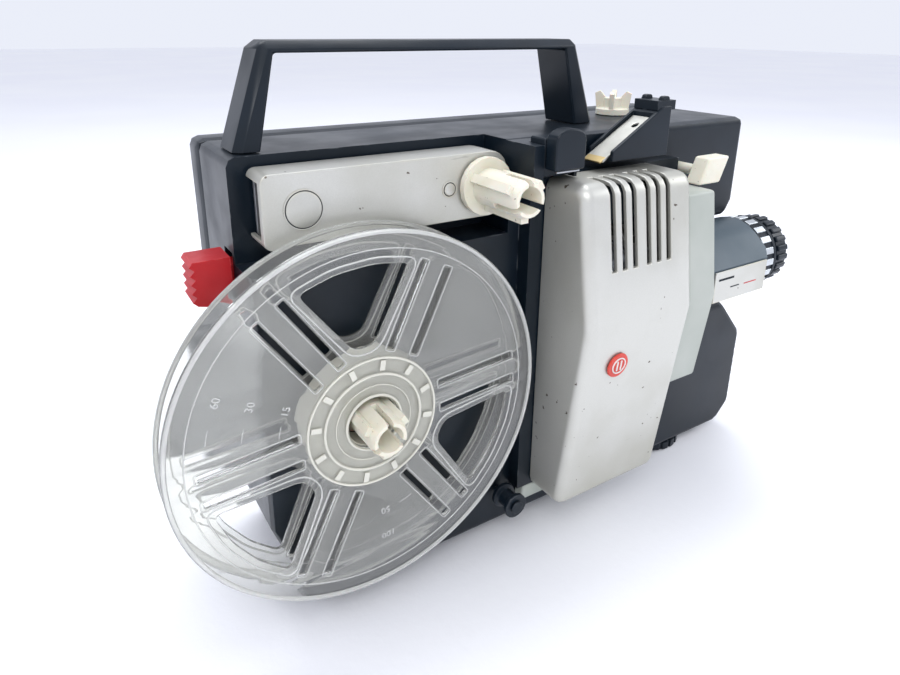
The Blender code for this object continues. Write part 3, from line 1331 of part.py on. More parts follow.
def main():
    for made in list(bpy.data.objects):
        bpy.data.objects.remove(made, do_unlink=True)
    black = material("black_plastic", (0.02, 0.022, 0.026), 0.35)
    slate = material("slate_plastic", (0.09, 0.12, 0.15), 0.5)
    silver = material("silver_paint", (0.62, 0.62, 0.6), 0.42, 0.5)
    pale = material("pale_plastic", (0.62, 0.65, 0.62), 0.5)
    ivory = material("ivory_plastic", (0.78, 0.75, 0.63), 0.5)
    red = material("red_plastic", (0.62, 0.02, 0.03), 0.45)
    clear = material("clear_plastic", (0.85, 0.87, 0.84), 0.15, 0.0, 0.35)
    glass = material("glass", (0.8, 0.85, 0.88), 0.05, 0.0, 0.4)
    steel = material("steel", (0.55, 0.56, 0.58), 0.35, 1.0)
    bright = material("bright_metal", (0.8, 0.79, 0.76), 0.25, 1.0)
    brass = material("brass", (0.7, 0.55, 0.25), 0.35, 1.0)
    ceramic = material("ceramic", (0.82, 0.8, 0.75), 0.6)
    rubber = material("rubber", (0.03, 0.03, 0.03), 0.8)
    copper = material("copper_winding", (0.5, 0.22, 0.1), 0.5, 0.8)

    near_shell(black)
    far_shell(black)
    carry_handle(black)
    mechanism_plate(steel)
    feet(rubber)
    mains_inlet(black)
    lamp_cover(silver)
    cover_badge(red)
    gate_cover(pale)
    base_plate(pale)
    lamp(glass, ceramic, steel)
    gate(steel)
    lens_group(slate, silver, black, bright, glass)
    drive(steel, black, brass, rubber, copper)
    reel(clear)
    takeup(ivory, black)
    supply_arm(silver, ivory, black, steel, rubber)
    chute(black, bright)
    film_cutter(black, steel)
    control_lever(red, steel)
    knobs(ivory)
    levelling_foot(black)
    guide_roller(black, steel)
    stand_on_origin()


main()
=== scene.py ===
"""Looks for the film projector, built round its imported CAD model.

Lengths are in metres, +Z is up, +X points to the lens and -Y to the side that the operator stands on.
"""

import math

import bmesh
import bpy
from mathutils import Matrix, Vector


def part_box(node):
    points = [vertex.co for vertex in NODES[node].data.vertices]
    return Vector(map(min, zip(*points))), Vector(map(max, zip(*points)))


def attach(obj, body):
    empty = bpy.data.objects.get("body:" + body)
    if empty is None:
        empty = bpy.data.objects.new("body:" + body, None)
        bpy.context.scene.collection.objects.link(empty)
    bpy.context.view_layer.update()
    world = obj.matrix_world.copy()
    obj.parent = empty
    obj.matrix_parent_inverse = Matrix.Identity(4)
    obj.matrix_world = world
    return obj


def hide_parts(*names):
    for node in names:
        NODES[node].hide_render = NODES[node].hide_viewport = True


MM = 0.001
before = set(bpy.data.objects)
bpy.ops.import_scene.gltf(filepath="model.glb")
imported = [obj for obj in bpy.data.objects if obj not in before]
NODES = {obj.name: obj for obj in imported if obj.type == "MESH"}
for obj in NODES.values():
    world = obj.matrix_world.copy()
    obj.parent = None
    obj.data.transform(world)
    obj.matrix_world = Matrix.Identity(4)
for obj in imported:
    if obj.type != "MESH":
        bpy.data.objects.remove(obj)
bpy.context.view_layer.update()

# ---------------------------------------------------------------- camera, floor and light

CAMERA_PLACE = (-0.152699, -0.196899, 0.200564)
CAMERA_TURN = (71.564, -0.488, -32.325)  # degrees about X, Y and Z
CAMERA_LENS = 26.66
CAMERA_SHIFT_Y = -0.1


def camera():
    data = bpy.data.cameras.new("camera")
    data.lens = CAMERA_LENS
    data.shift_y = CAMERA_SHIFT_Y
    data.clip_start = 0.01
    made = bpy.data.objects.new("camera", data)
    made.location = CAMERA_PLACE
    made.rotation_euler = [math.radians(a) for a in CAMERA_TURN]
    bpy.context.scene.collection.objects.link(made)
    bpy.context.scene.camera = made


def softbox(name, place, target, size, power, colour=(1, 1, 1)):
    data = bpy.data.lights.new(name, "AREA")
    data.shape = "RECTANGLE"
    data.size, data.size_y = size
    data.energy = power
    data.color = colour
    made = bpy.data.objects.new(name, data)
    made.location = place
    made.rotation_euler = (Vector(target) - Vector(place)).to_track_quat("-Z", "Y").to_euler()
    bpy.context.scene.collection.objects.link(made)


def surroundings():
    world = bpy.data.worlds.new("studio")
    world.use_nodes = True
    background = world.node_tree.nodes["Background"]
    background.inputs["Color"].default_value = (0.83, 0.86, 0.95, 1)
    background.inputs["Strength"].default_value = 1.0
    bpy.context.scene.world = world
    softbox("key", (-0.55, -0.75, 1.0), (0, 0, 0.08), (0.8, 0.5), 6)
    softbox("top", (0.1, 0.35, 1.2), (0, 0, 0.1), (0.9, 0.6), 8, (0.94, 0.97, 1.0))
    softbox("side", (1.0, -0.4, 0.6), (0.05, 0, 0.1), (0.5, 0.5), 3, (0.96, 0.98, 1.0))
    bpy.context.scene.view_settings.view_transform = "Standard"
    mesh = bmesh.new()
    bmesh.ops.create_grid(mesh, x_segments=8, y_segments=8, size=6)
    finish = Finish("floor", (0.90, 0.90, 0.94), 0.7).mottle((0.93, 0.93, 0.95), 3)
    finish.grain(260, 0.2, distance=0.0006)
    piece("floor", mesh, finish.done())


# ---------------------------------------------------------------- materials

class Finish:
    """A Principled material. Its methods lay noise, wear and relief over it, and done() gives it."""

    def __init__(self, name, colour, roughness, metallic=0.0, **settings):
        self.material = bpy.data.materials.new(name)
        self.material.use_nodes = True
        tree = self.material.node_tree
        self.nodes, self.links = tree.nodes, tree.links
        self.shader = self.nodes["Principled BSDF"]
        self.place = self.nodes.new("ShaderNodeTexCoord").outputs["Object"]
        self.shader.inputs["Metallic"].default_value = metallic
        for socket, value in settings.items():
            self.shader.inputs[socket.replace("_", " ")].default_value = value
        self.material.diffuse_color = (*colour, 1)
        self.colour = self.constant("RGB", (*colour, 1))
        self.rough = self.constant("Value", roughness)
        self.relief = None

    def constant(self, kind, value):
        made = self.nodes.new(f"ShaderNode{kind}")
        made.outputs[0].default_value = value
        return made.outputs[0]

    def noise(self, scale, detail=4.0, stretch=(1, 1, 1)):
        mapping = self.nodes.new("ShaderNodeMapping")
        mapping.inputs["Scale"].default_value = stretch
        self.links.new(self.place, mapping.inputs["Vector"])
        made = self.nodes.new("ShaderNodeTexNoise")
        made.inputs["Scale"].default_value = scale
        made.inputs["Detail"].default_value = detail
        self.links.new(mapping.outputs[0], made.inputs["Vector"])
        return made.outputs["Fac"]

    def between(self, value, low, high):
        """0 where value is below low, 1 above high."""
        made = self.nodes.new("ShaderNodeMapRange")
        made.inputs["From Min"].default_value = low
        made.inputs["From Max"].default_value = high
        self.links.new(value, made.inputs["Value"])
        return made.outputs["Result"]

    def math(self, operation, first, second):
        made = self.nodes.new("ShaderNodeMath")
        made.operation = operation
        for socket, value in zip(made.inputs, (first, second)):
            if isinstance(value, (int, float)):
                socket.default_value = value
            else:
                self.links.new(value, socket)
        return made.outputs[0]

    def tint(self, factor, colour):
        made = self.nodes.new("ShaderNodeMix")
        made.data_type = "RGBA"
        self.links.new(factor, made.inputs[0])
        self.links.new(self.colour, made.inputs[6])
        made.inputs[7].default_value = (*colour, 1)
        self.colour = made.outputs[2]
        return self

    def polish(self, factor, roughness):
        """Moves the roughness to this value where factor is 1."""
        made = self.nodes.new("ShaderNodeMix")
        self.links.new(factor, made.inputs[0])
        self.links.new(self.rough, made.inputs[2])
        made.inputs[3].default_value = roughness
        self.rough = made.outputs[0]
        return self

    def mottle(self, colour, scale, low=0.35, high=0.7):
        return self.tint(self.between(self.noise(scale), low, high), colour)

    def smudge(self, roughness, scale, low=0.4, high=0.7):
        return self.polish(self.between(self.noise(scale), low, high), roughness)

    def grain(self, scale, strength, stretch=(1, 1, 1), distance=0.0002):
        made = self.nodes.new("ShaderNodeBump")
        made.inputs["Strength"].default_value = strength
        made.inputs["Distance"].default_value = distance
        self.links.new(self.noise(scale, 3.0, stretch), made.inputs["Height"])
        if self.relief:
            self.links.new(self.relief, made.inputs["Normal"])
        self.relief = made.outputs["Normal"]
        return self

    def edge_mask(self, radius, low=0.02, high=0.2):
        """1 near sharp edges."""
        bevel = self.nodes.new("ShaderNodeBevel")
        bevel.samples = 6
        bevel.inputs["Radius"].default_value = radius
        geometry = self.nodes.new("ShaderNodeNewGeometry")
        dot = self.nodes.new("ShaderNodeVectorMath")
        dot.operation = "DOT_PRODUCT"
        self.links.new(bevel.outputs[0], dot.inputs[0])
        self.links.new(geometry.outputs["Normal"], dot.inputs[1])
        return self.between(self.math("SUBTRACT", 1.0, dot.outputs["Value"]), low, high)

    def worn_edges(self, radius, colour, roughness, spread=0.5, scale=160):
        patches = self.between(self.noise(scale), spread, spread + 0.12)
        mask = self.math("MULTIPLY", self.edge_mask(radius), patches)
        return self.tint(mask, colour).polish(mask, roughness)

    def scratches(self, colour, roughness, scale=26, stretch=(1, 1, 14)):
        lines = self.between(self.noise(scale, 8.0, stretch), 0.69, 0.72)
        patches = self.between(self.noise(14), 0.5, 0.62)
        mask = self.math("MULTIPLY", lines, patches)
        return self.tint(mask, colour).polish(mask, roughness)

    def specks(self, colour, scale=420, low=0.71):
        return self.tint(self.between(self.noise(scale, 2.0), low, low + 0.02), colour)

    def dust(self, colour, most=0.2):
        """Dust on what faces up."""
        normal = self.nodes.new("ShaderNodeSeparateXYZ")
        self.links.new(self.nodes.new("ShaderNodeNewGeometry").outputs["Normal"], normal.inputs[0])
        up = self.between(normal.outputs[2], 0.6, 1.0)
        patches = self.math("MULTIPLY", self.between(self.noise(70, 8.0), 0.4, 0.75), most)
        mask = self.math("MULTIPLY", up, patches)
        return self.tint(mask, colour).polish(mask, 0.7)

    def done(self):
        self.links.new(self.colour, self.shader.inputs["Base Color"])
        self.links.new(self.rough, self.shader.inputs["Roughness"])
        if self.relief:
            self.links.new(self.relief, self.shader.inputs["Normal"])
        return self.material


def black_plastic(name="black_plastic", roughness=0.3):
    made = Finish(name, (0.003, 0.007, 0.012), roughness, Specular_IOR_Level=0.3)
    made.mottle((0.006, 0.012, 0.020), 40).smudge(roughness + 0.12, 55).grain(1500, 0.06, distance=0.00005)
    made.worn_edges(0.0007, (0.16, 0.17, 0.18), 0.5, 0.55).dust((0.10, 0.11, 0.13))
    return made.done()


def slate_plastic():
    made = Finish("slate_plastic", (0.045, 0.07, 0.088), 0.42)
    made.mottle((0.06, 0.085, 0.105), 50).smudge(0.5, 70).grain(2600, 0.12, distance=0.00006)
    made.worn_edges(0.0005, (0.2, 0.23, 0.25), 0.5, 0.5)
    return made.done()


def silver_paint(name="silver_paint", stretch=(1, 1, 10)):
    made = Finish(name, (0.55, 0.545, 0.505), 0.4, 0.65)
    made.mottle((0.61, 0.605, 0.565), 5000, 0.3, 0.7).mottle((0.40, 0.39, 0.32), 16, 0.44, 0.8)
    made.smudge(0.46, 34).grain(4200, 0.1, distance=0.00004).grain(60, 0.05, distance=0.0004)
    made.scratches((0.36, 0.35, 0.32), 0.5, stretch=stretch)
    made.specks((0.12, 0.10, 0.08), 330, 0.73)
    made.worn_edges(0.0012, (0.60, 0.56, 0.44), 0.55, 0.42, 70)
    made.worn_edges(0.0005, (0.06, 0.055, 0.05), 0.6, 0.6)
    return made.done()


def pale_plastic():
    made = Finish("pale_plastic", (0.42, 0.44, 0.40), 0.42)
    made.mottle((0.31, 0.34, 0.30), 24).smudge(0.5, 60).grain(3000, 0.08, distance=0.00004)
    made.worn_edges(0.0006, (0.4, 0.39, 0.34), 0.6, 0.55)
    return made.done()


def ivory_plastic():
    made = Finish(
        "ivory_plastic", (0.74, 0.71, 0.60), 0.4, Subsurface_Weight=0.15, Subsurface_Scale=0.002
    )
    made.mottle((0.66, 0.62, 0.48), 90, 0.45, 0.8).smudge(0.55, 120).grain(2400, 0.08, distance=0.00005)
    made.specks((0.25, 0.21, 0.15), 700, 0.72).worn_edges(0.0004, (0.45, 0.40, 0.30), 0.6, 0.5, 300)
    return made.done()


def red_plastic(name="red_plastic", colour=(0.50, 0.008, 0.014)):
    made = Finish(name, colour, 0.33)
    made.mottle(tuple(0.8 * c for c in colour), 80).smudge(0.45, 160).grain(2200, 0.06, distance=0.00005)
    made.worn_edges(0.0004, (0.75, 0.10, 0.10), 0.5, 0.45, 300)
    return made.done()


def clear_plastic(name, colour, clearness, roughness=0.05):
    made = Finish(name, colour, roughness, Transmission_Weight=clearness, IOR=1.46)
    made.mottle(tuple(0.96 * c for c in colour), 30).smudge(roughness + 0.09, 42)
    made.grain(300, 0.05, distance=0.0001)
    made.scratches(tuple(0.8 * c for c in colour), 0.4, 22, (1, 1, 12))
    return made.done()


def glass(name="glass", colour=(0.80, 0.86, 0.92), clearness=0.9):
    made = Finish(name, colour, 0.02, Transmission_Weight=clearness, IOR=1.52, Coat_Weight=0.4)
    return made.mottle((0.72, 0.78, 0.90), 60).smudge(0.06, 90).done()


def metal(name, colour, roughness, stretch=(1, 1, 18)):
    made = Finish(name, colour, roughness, 1.0)
    made.mottle(tuple(0.8 * c for c in colour), 90).smudge(roughness + 0.15, 60)
    made.grain(900, 0.12, stretch, 0.00005)
    made.worn_edges(0.0003, tuple(0.5 * c for c in colour), 0.5, 0.5, 500)
    return made.done()


def matte(name, colour, roughness=0.7, grain=900):
    made = Finish(name, colour, roughness)
    made.mottle(tuple(0.75 * c for c in colour), 120).smudge(roughness - 0.12, 160).grain(grain, 0.25)
    return made.done()


# ---------------------------------------------------------------- shaping tools

def whole_faces(made):
    """Joins the separate triangles of a CAD node, so that its edges can be softened."""
    made.modifiers.new("joined_corners", "WELD").merge_threshold = 1e-6
    faces = made.modifiers.new("whole_faces", "DECIMATE")
    faces.decimate_type = "DISSOLVE"
    faces.angle_limit = math.radians(0.5)


def smooth(made, edge, angle=35, segments=2):
    """Soft edges on a piece, with shading that stays flat on its faces."""
    made.data.polygons.foreach_set("use_smooth", [True] * len(made.data.polygons))
    if edge:
        bevel = made.modifiers.new("soft_edges", "BEVEL")
        bevel.width = edge
        bevel.segments = segments
        bevel.limit_method = "ANGLE"
        bevel.angle_limit = math.radians(angle)
        bevel.use_clamp_overlap = True
        even = made.modifiers.new("even_shading", "WEIGHTED_NORMAL")
        even.weight = 100
        even.keep_sharp = True
    else:
        made.data.set_sharp_from_angle(angle=math.radians(angle))
    return made


def dress(names, finish, edge=0.0, angle=35):
    """Gives CAD nodes their material and soft edges."""
    for name in names.split():
        made = NODES[name]
        made.data.materials.clear()
        made.data.materials.append(finish)
        if edge:
            whole_faces(made)
        smooth(made, edge, angle)


def piece(name, mesh, finish, body=None, edge=0.0, angle=35):
    """An object made from a bmesh, riding on a CAD body."""
    data = bpy.data.meshes.new(name)
    bmesh.ops.recalc_face_normals(mesh, faces=mesh.faces)
    mesh.to_mesh(data)
    mesh.free()
    made = bpy.data.objects.new(name, data)
    bpy.context.scene.collection.objects.link(made)
    data.materials.append(finish)
    smooth(made, edge, angle)
    if body:
        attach(made, body)
    return made


def facing(axis, place=(0, 0, 0)):
    """Turns local +Z to look along +X, -Y or +Z, with local X kept level, and moves it to place."""
    turn = {
        "+X": Matrix(((0, 0, 1), (1, 0, 0), (0, 1, 0))),
        "-Y": Matrix(((1, 0, 0), (0, 0, -1), (0, 1, 0))),
        "+Z": Matrix.Identity(3),
    }[axis]
    return Matrix.Translation(place) @ turn.to_4x4()


def lathe(profile, matrix, steps=96):
    """A solid of revolution. The profile holds (radius, height) points of a closed outline."""
    mesh = bmesh.new()
    ring = [mesh.verts.new((radius, 0, height)) for radius, height in profile]
    edges = [mesh.edges.new(pair) for pair in zip(ring, ring[1:] + ring[:1])]
    bmesh.ops.spin(
        mesh, geom=ring + edges, cent=(0, 0, 0), axis=(0, 0, 1), angle=2 * math.pi, steps=steps,
        use_merge=True,
    )
    bmesh.ops.remove_doubles(mesh, verts=mesh.verts, dist=1e-7)
    bmesh.ops.transform(mesh, matrix=matrix, verts=mesh.verts)
    return mesh


def plate(outline, low, high, matrix=None):
    """An outline in local X and Y, raised from low to high along local Z."""
    mesh = bmesh.new()
    face = mesh.faces.new([mesh.verts.new((x, y, low)) for x, y in outline])
    raised = bmesh.ops.extrude_face_region(mesh, geom=[face])["geom"]
    verts = [v for v in raised if isinstance(v, bmesh.types.BMVert)]
    bmesh.ops.translate(mesh, verts=verts, vec=(0, 0, high - low))
    if matrix:
        bmesh.ops.transform(mesh, matrix=matrix, verts=mesh.verts)
    return mesh


def merged(meshes):
    whole = bmesh.new()
    for mesh in meshes:
        data = bpy.data.meshes.new("part")
        mesh.to_mesh(data)
        mesh.free()
        whole.from_mesh(data)
        bpy.data.meshes.remove(data)
    return whole


def brick(size, matrix):
    mesh = bmesh.new()
    bmesh.ops.create_cube(mesh, size=1)
    bmesh.ops.scale(mesh, vec=size, verts=mesh.verts)
    bmesh.ops.transform(mesh, matrix=matrix, verts=mesh.verts)
    return mesh


def arc(radius, start, end, steps, centre=(0, 0)):
    """Points of an arc, with angles in degrees."""
    angles = [math.radians(start + (end - start) * k / steps) for k in range(steps + 1)]
    return [(centre[0] + radius * math.cos(a), centre[1] + radius * math.sin(a)) for a in angles]


def rounded_corners(points, radius, steps=5):
    """The outline with each corner replaced by a curve."""
    smoothed = []
    for before, corner, after in zip(points[-1:] + points[:-1], points, points[1:] + points[:1]):
        corner = Vector(corner)
        back, on = Vector(before) - corner, Vector(after) - corner
        start = corner + back.normalized() * min(radius, 0.45 * back.length)
        end = corner + on.normalized() * min(radius, 0.45 * on.length)
        for k in range(steps + 1):
            t = k / steps
            smoothed.append(tuple((1 - t) ** 2 * start + 2 * t * (1 - t) * corner + t * t * end))
    return smoothed


def mesh_of(curve, matrix):
    """The mesh that a curve or a text makes, moved by the matrix."""
    shape = bpy.data.objects.new("shape", curve)
    bpy.context.scene.collection.objects.link(shape)
    bpy.context.view_layer.update()
    data = bpy.data.meshes.new_from_object(shape.evaluated_get(bpy.context.evaluated_depsgraph_get()))
    bpy.data.objects.remove(shape, do_unlink=True)
    mesh = bmesh.new()
    mesh.from_mesh(data)
    bpy.data.meshes.remove(data)
    bmesh.ops.remove_doubles(mesh, verts=mesh.verts, dist=1e-6)
    bmesh.ops.transform(mesh, matrix=matrix, verts=mesh.verts)
    return mesh


def sheet_of(name, outlines, thickness, edge, matrix, finish, body):
    """A flat plate with holes: the first outline is its rim, the others are holes."""
    curve = bpy.data.curves.new(name, "CURVE")
    curve.dimensions = "2D"
    curve.fill_mode = "BOTH"
    curve.extrude = thickness / 2 - edge
    curve.bevel_depth = edge
    curve.bevel_resolution = 2
    curve.offset = -edge
    for outline in outlines:
        spline = curve.splines.new("POLY")
        spline.points.add(len(outline) - 1)
        spline.use_cyclic_u = True
        for point, (x, y) in zip(spline.points, outline):
            point.co = (x, y, 0, 1)
    return piece(name, mesh_of(curve, matrix), finish, body, 0.0, 60)


def bead(path, radius, matrix, closed=True, sides=6):
    """A round bead along a path in local X and Y, lying on local Z = 0."""
    count = len(path)
    mesh = bmesh.new()
    rings = []
    for k, point in enumerate(path):
        before = Vector(path[k - 1] if k or closed else path[0])
        after = Vector(path[(k + 1) % count] if k < count - 1 or closed else path[-1])
        along = (after - before).normalized()
        side = Vector((-along.y, along.x))
        ring = []
        for s in range(sides):
            angle = 2 * math.pi * s / sides
            across = side * (radius * math.cos(angle))
            place = (point[0] + across.x, point[1] + across.y, radius * math.sin(angle))
            ring.append(mesh.verts.new(place))
        rings.append(ring)
    pairs = list(zip(rings, rings[1:])) + ([(rings[-1], rings[0])] if closed else [])
    for first, second in pairs:
        for s in range(sides):
            mesh.faces.new((first[s], first[(s + 1) % sides], second[(s + 1) % sides], second[s]))
    if not closed:
        mesh.faces.new(rings[0])
        mesh.faces.new(rings[-1][::-1])
    bmesh.ops.transform(mesh, matrix=matrix, verts=mesh.verts)
    return mesh


def lettering(words, size, depth, matrix):
    curve = bpy.data.curves.new("words", "FONT")
    curve.body = words
    curve.size = size
    curve.extrude = depth / 2
    curve.align_x = "CENTER"
    curve.align_y = "CENTER"
    curve.resolution_u = 3
    return mesh_of(curve, matrix)


def corners(node):
    """Lowest and highest corner of a CAD node at rest."""
    low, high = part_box(node)
    return Vector(low), Vector(high)


def centre(node):
    low, high = corners(node)
    return (low + high) / 2


# ---------------------------------------------------------------- the reel

SPOKE_TURN = 5  # degrees from level to the first spoke
WINDOW_TURN = 95  # degrees from level to the first window
SPOKES = 6
WINDOWS = 3
WINDOW_START = 27 * MM  # from the axis
WINDOW_END = 53 * MM
SLOT_START = 24.5 * MM
SLOT_END = 54 * MM
SLOT_HALF_WIDTH = 1.15 * MM
SLOT_OFFSET = 4.6 * MM  # of each slot from the middle of its spoke
RIDGE_WIDTH = 0.65 * MM  # from a slot to the ridge round it
REEL_BORE = 8.7 * MM
HUB_MARKS = 12


def polar_box(near, far, half_width):
    """A box along local +X, from radius near to radius far."""
    return [(near, -half_width), (far, -half_width), (far, half_width), (near, half_width)]


def window_outline(grow=0.0):
    """The open window of a flange, pointing along local +X."""
    half_width = 3.6 * MM + 0.5 * grow
    inner = [(WINDOW_START - grow, half_width), (WINDOW_START - grow, -half_width)]
    reach = 20 + math.degrees(1.15 * grow / WINDOW_END)
    return inner + arc(WINDOW_END + grow, -reach, reach, 3)


def turned_outline(outline, turn):
    ray = Matrix.Rotation(math.radians(turn), 2)
    return [tuple(ray @ Vector(p)) for p in outline]


def window_outlines(grow, corner, steps):
    shape = rounded_corners(window_outline(grow), corner, steps)
    return [turned_outline(shape, WINDOW_TURN + 360 / WINDOWS * k) for k in range(WINDOWS)]


def slot_outlines(start, end, half_width, corner):
    """Two slots on each spoke, one to each side of its middle."""
    shape = rounded_corners(polar_box(start, end, half_width), corner, 2)
    made = []
    for k in range(SPOKES):
        for side in (-1, 1):
            slot = [(x, y + side * SLOT_OFFSET) for x, y in shape]
            made.append(turned_outline(slot, SPOKE_TURN + 360 / SPOKES * k))
    return made


def ring_path(radius, steps=71):
    """A full circle as a closed path, whose last point stops one step short."""
    return arc(radius, 0, 360 * steps / (steps + 1), steps)


def reel_flange(name, outside, middle, radius, thickness, clear, bright):
    """One flange, and the moulded ridges on its outer face, in a whiter, less clear plastic than the
    flange: a painted highlight for the light the ridges catch.
    """
    outlines = [ring_path(radius, 143), ring_path(REEL_BORE, 35), *window_outlines(0.0, 3 * MM, 4)]
    outlines += slot_outlines(SLOT_START, SLOT_END, SLOT_HALF_WIDTH, 0.5 * MM)
    flange = sheet_of(
        f"reel_{name}_disc", outlines, thickness, 0.25 * MM, facing("-Y", middle), clear, "takeup",
    )
    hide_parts(f"reel_{name}_flange")
    face = facing("-Y", (middle[0], outside, middle[2]))
    lines = [bead(ring_path(radius - 0.9 * MM, 143), 0.75 * MM, face)]
    lines.append(bead(ring_path(57.5 * MM, 143), 0.22 * MM, face))
    lines += [bead(window, 0.3 * MM, face) for window in window_outlines(2.2 * MM, 4.5 * MM, 5)]
    ridges = slot_outlines(
        SLOT_START - 0.7 * MM, SLOT_END + 0.8 * MM, SLOT_HALF_WIDTH + RIDGE_WIDTH, 0.8 * MM
    )
    lines += [bead(ridge, 0.22 * MM, face) for ridge in ridges]
    # The ridges are painted highlight: whiter and less clear than the flange.
    piece(f"reel_{name}_ridges", merged(lines), bright, "takeup", 0.0, 60)


def reel_hub(milky, hub_front, flange_back):
    """The milky face of the hub, with its rings and marks."""
    hub_low, hub_high = corners("reel_hub")
    radius = (hub_high.x - hub_low.x) / 2
    rings = []
    for ring_radius, bead_radius, height, steps in (
        (radius - 0.4 * MM, 0.45 * MM, 0.5 * MM, 71),
        (16.6 * MM, 0.5 * MM, 0.6 * MM, 71),
        (REEL_BORE + 0.8 * MM, 0.5 * MM, 0.7 * MM, 35),
        (13 * MM, 0.2 * MM, 0.6 * MM, 44),
    ):
        raised = hub_front @ Matrix.Translation((0, 0, height))
        rings.append(bead(ring_path(ring_radius, steps), bead_radius, raised))
    for k in range(HUB_MARKS):
        turn = SPOKE_TURN + 15 + 360 / HUB_MARKS * k
        spot = Matrix.Rotation(math.radians(turn), 4, "Z") @ Matrix.Translation((19.6 * MM, 0, 0.5 * MM))
        rings.append(brick((3.4 * MM, 1.8 * MM, 0.8 * MM), hub_front @ spot))
    inner = REEL_BORE + 0.4 * MM
    outer = radius - 0.6 * MM
    disc = [(inner, 0.1 * MM), (inner, -0.5 * MM), (outer, -0.5 * MM), (outer, 0.1 * MM)]
    hub_x, hub_z = centre("reel_hub").x, centre("reel_hub").z
    hub_face = facing("-Y", (hub_x, flange_back + 0.15 * MM, hub_z))
    piece("reel_hub_face", lathe(disc, hub_face), milky, "takeup", 0.0, 40)
    piece("reel_hub_ridges", merged(rings), milky, "takeup", 0.15 * MM, 50)
    dress("reel_hub", milky, 0.1 * MM)


def reel(clear, bright, milky):
    place = centre("reel_hub")
    front_low, front_high = corners("reel_front_flange")
    back_y = corners("reel_back_flange")[0].y
    radius = (front_high.x - front_low.x) / 2
    thickness = front_high.y - front_low.y
    front_middle = (place.x, front_low.y + thickness / 2, place.z)
    back_middle = (place.x, back_y + thickness / 2, place.z)
    reel_flange("front", front_low.y, front_middle, radius, thickness, clear, bright)
    reel_flange("back", back_y + thickness, back_middle, radius, thickness, clear, bright)
    reel_hub(milky, facing("-Y", front_middle), front_high.y)
    scale(place, front_low.y, bright)


# each scale's turn in degrees, then its figures with their radii in mm
FILM_SCALES = ((155, (("15", 31), ("30", 42), ("60", 52))), (275, (("50", 35), ("100", 45))))


def scale(place, face_y, finish):
    """The moulded scale that shows how much film is left, in the whiter ridge plastic: a painted highlight.
    """
    marks = []
    face = facing("-Y", (place.x, face_y, place.z))
    upright = Matrix.Rotation(math.radians(-90), 4, "Z")
    for turn, figures in FILM_SCALES:
        spin = Matrix.Rotation(math.radians(turn), 4, "Z")
        for words, radius in figures:
            spot = spin @ Matrix.Translation((radius * MM, 0, 0.08 * MM)) @ upright
            marks.append(lettering(words, 3.4 * MM, 0.22 * MM, face @ spot))
            curve = arc(radius * MM, turn + 9, turn + 9 + 260 / radius, 5)
            marks.append(bead(curve, 0.14 * MM, face, False))
    piece("reel_scale", merged(marks), finish, "takeup", 0.0, 60)


# ---------------------------------------------------------------- lens rings

ZOOM_TEETH = 20
FOCUS_PADS = 22


def ring_frame(node):
    """Where a ring's rear face is, its width and its radius."""
    low, high = corners(node)
    middle = centre(node)
    return facing("+X", (low.x, middle.y, middle.z)), high.x - low.x, (high.z - low.z) / 2


def bricks_round(count, radius, height, size, along):
    """Equal bricks spaced evenly round an axis."""
    made = []
    for k in range(count):
        turn = Matrix.Rotation(2 * math.pi * k / count, 4, "Z")
        made.append(brick(size, along @ (turn @ Matrix.Translation((radius, 0, height)))))
    return merged(made)


def zoom_ring(silver, dark):
    along, width, radius = ring_frame("zoom_ring")
    bore, root, band = 13.75 * MM, radius - 0.7 * MM, 1.9 * MM
    profile = [
        (bore, 0), (root - 0.4 * MM, 0), (root, 0.4 * MM), (root, width - band),
        (root + 0.5 * MM, width - band + 0.2 * MM), (root + 0.5 * MM, width - 0.3 * MM),
        (root + 0.2 * MM, width), (bore, width),
    ]
    ring = piece("zoom_ring_body", lathe(profile, along), dark, "zoom", 0.0, 40)
    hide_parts("zoom_ring")
    size = (1.4 * MM, 2.9 * MM, width - band - 0.5 * MM)
    teeth = bricks_round(ZOOM_TEETH, root, (width - band) / 2, size, along)
    piece("zoom_ring_teeth", teeth, silver, "zoom", 0.35 * MM, 30)


def focus_ring(black):
    along, width, radius = ring_frame("focus_ring")
    bore, root = 11.95 * MM, radius - 1.1 * MM
    profile = [
        (bore, 0), (root - 1 * MM, 0), (root - 1 * MM, 0.9 * MM), (root, 1.1 * MM),
        (root, width - 0.4 * MM), (root - 0.8 * MM, width), (bore + 1 * MM, width),
        (bore, width - 1.4 * MM),
    ]
    ring = piece("focus_ring_body", lathe(profile, along), black, "focus", 0.0, 40)
    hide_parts("focus_ring")
    size = (2.0 * MM, 2.6 * MM, width - 1.6 * MM)
    pads = bricks_round(FOCUS_PADS, root, width / 2 + 0.4 * MM, size, along)
    piece("focus_ring_knurl", pads, black, "focus", 0.6 * MM, 30)


def lens_markings(dark, red):
    """Generic print on the label in place of the maker's."""
    low, high = corners("lens_label")
    face = low.y - 0.02 * MM
    spots = [
        (low.x + 7 * MM, high.z - 3.4 * MM, 9.5 * MM, 0.9 * MM, dark),
        (low.x + 13 * MM, high.z - 7.6 * MM, 5.5 * MM, 0.5 * MM, dark),
        (low.x + 23 * MM, high.z - 7.8 * MM, 8 * MM, 0.45 * MM, red),
    ]
    for number, (x, z, wide, tall, finish) in enumerate(spots, 1):
        mesh = brick((wide, 0.12 * MM, tall), Matrix.Translation((x, face, z)))
        piece(f"lens_label_line_{number}", mesh, finish, "housing", 0.02 * MM)


# ---------------------------------------------------------------- details of the body

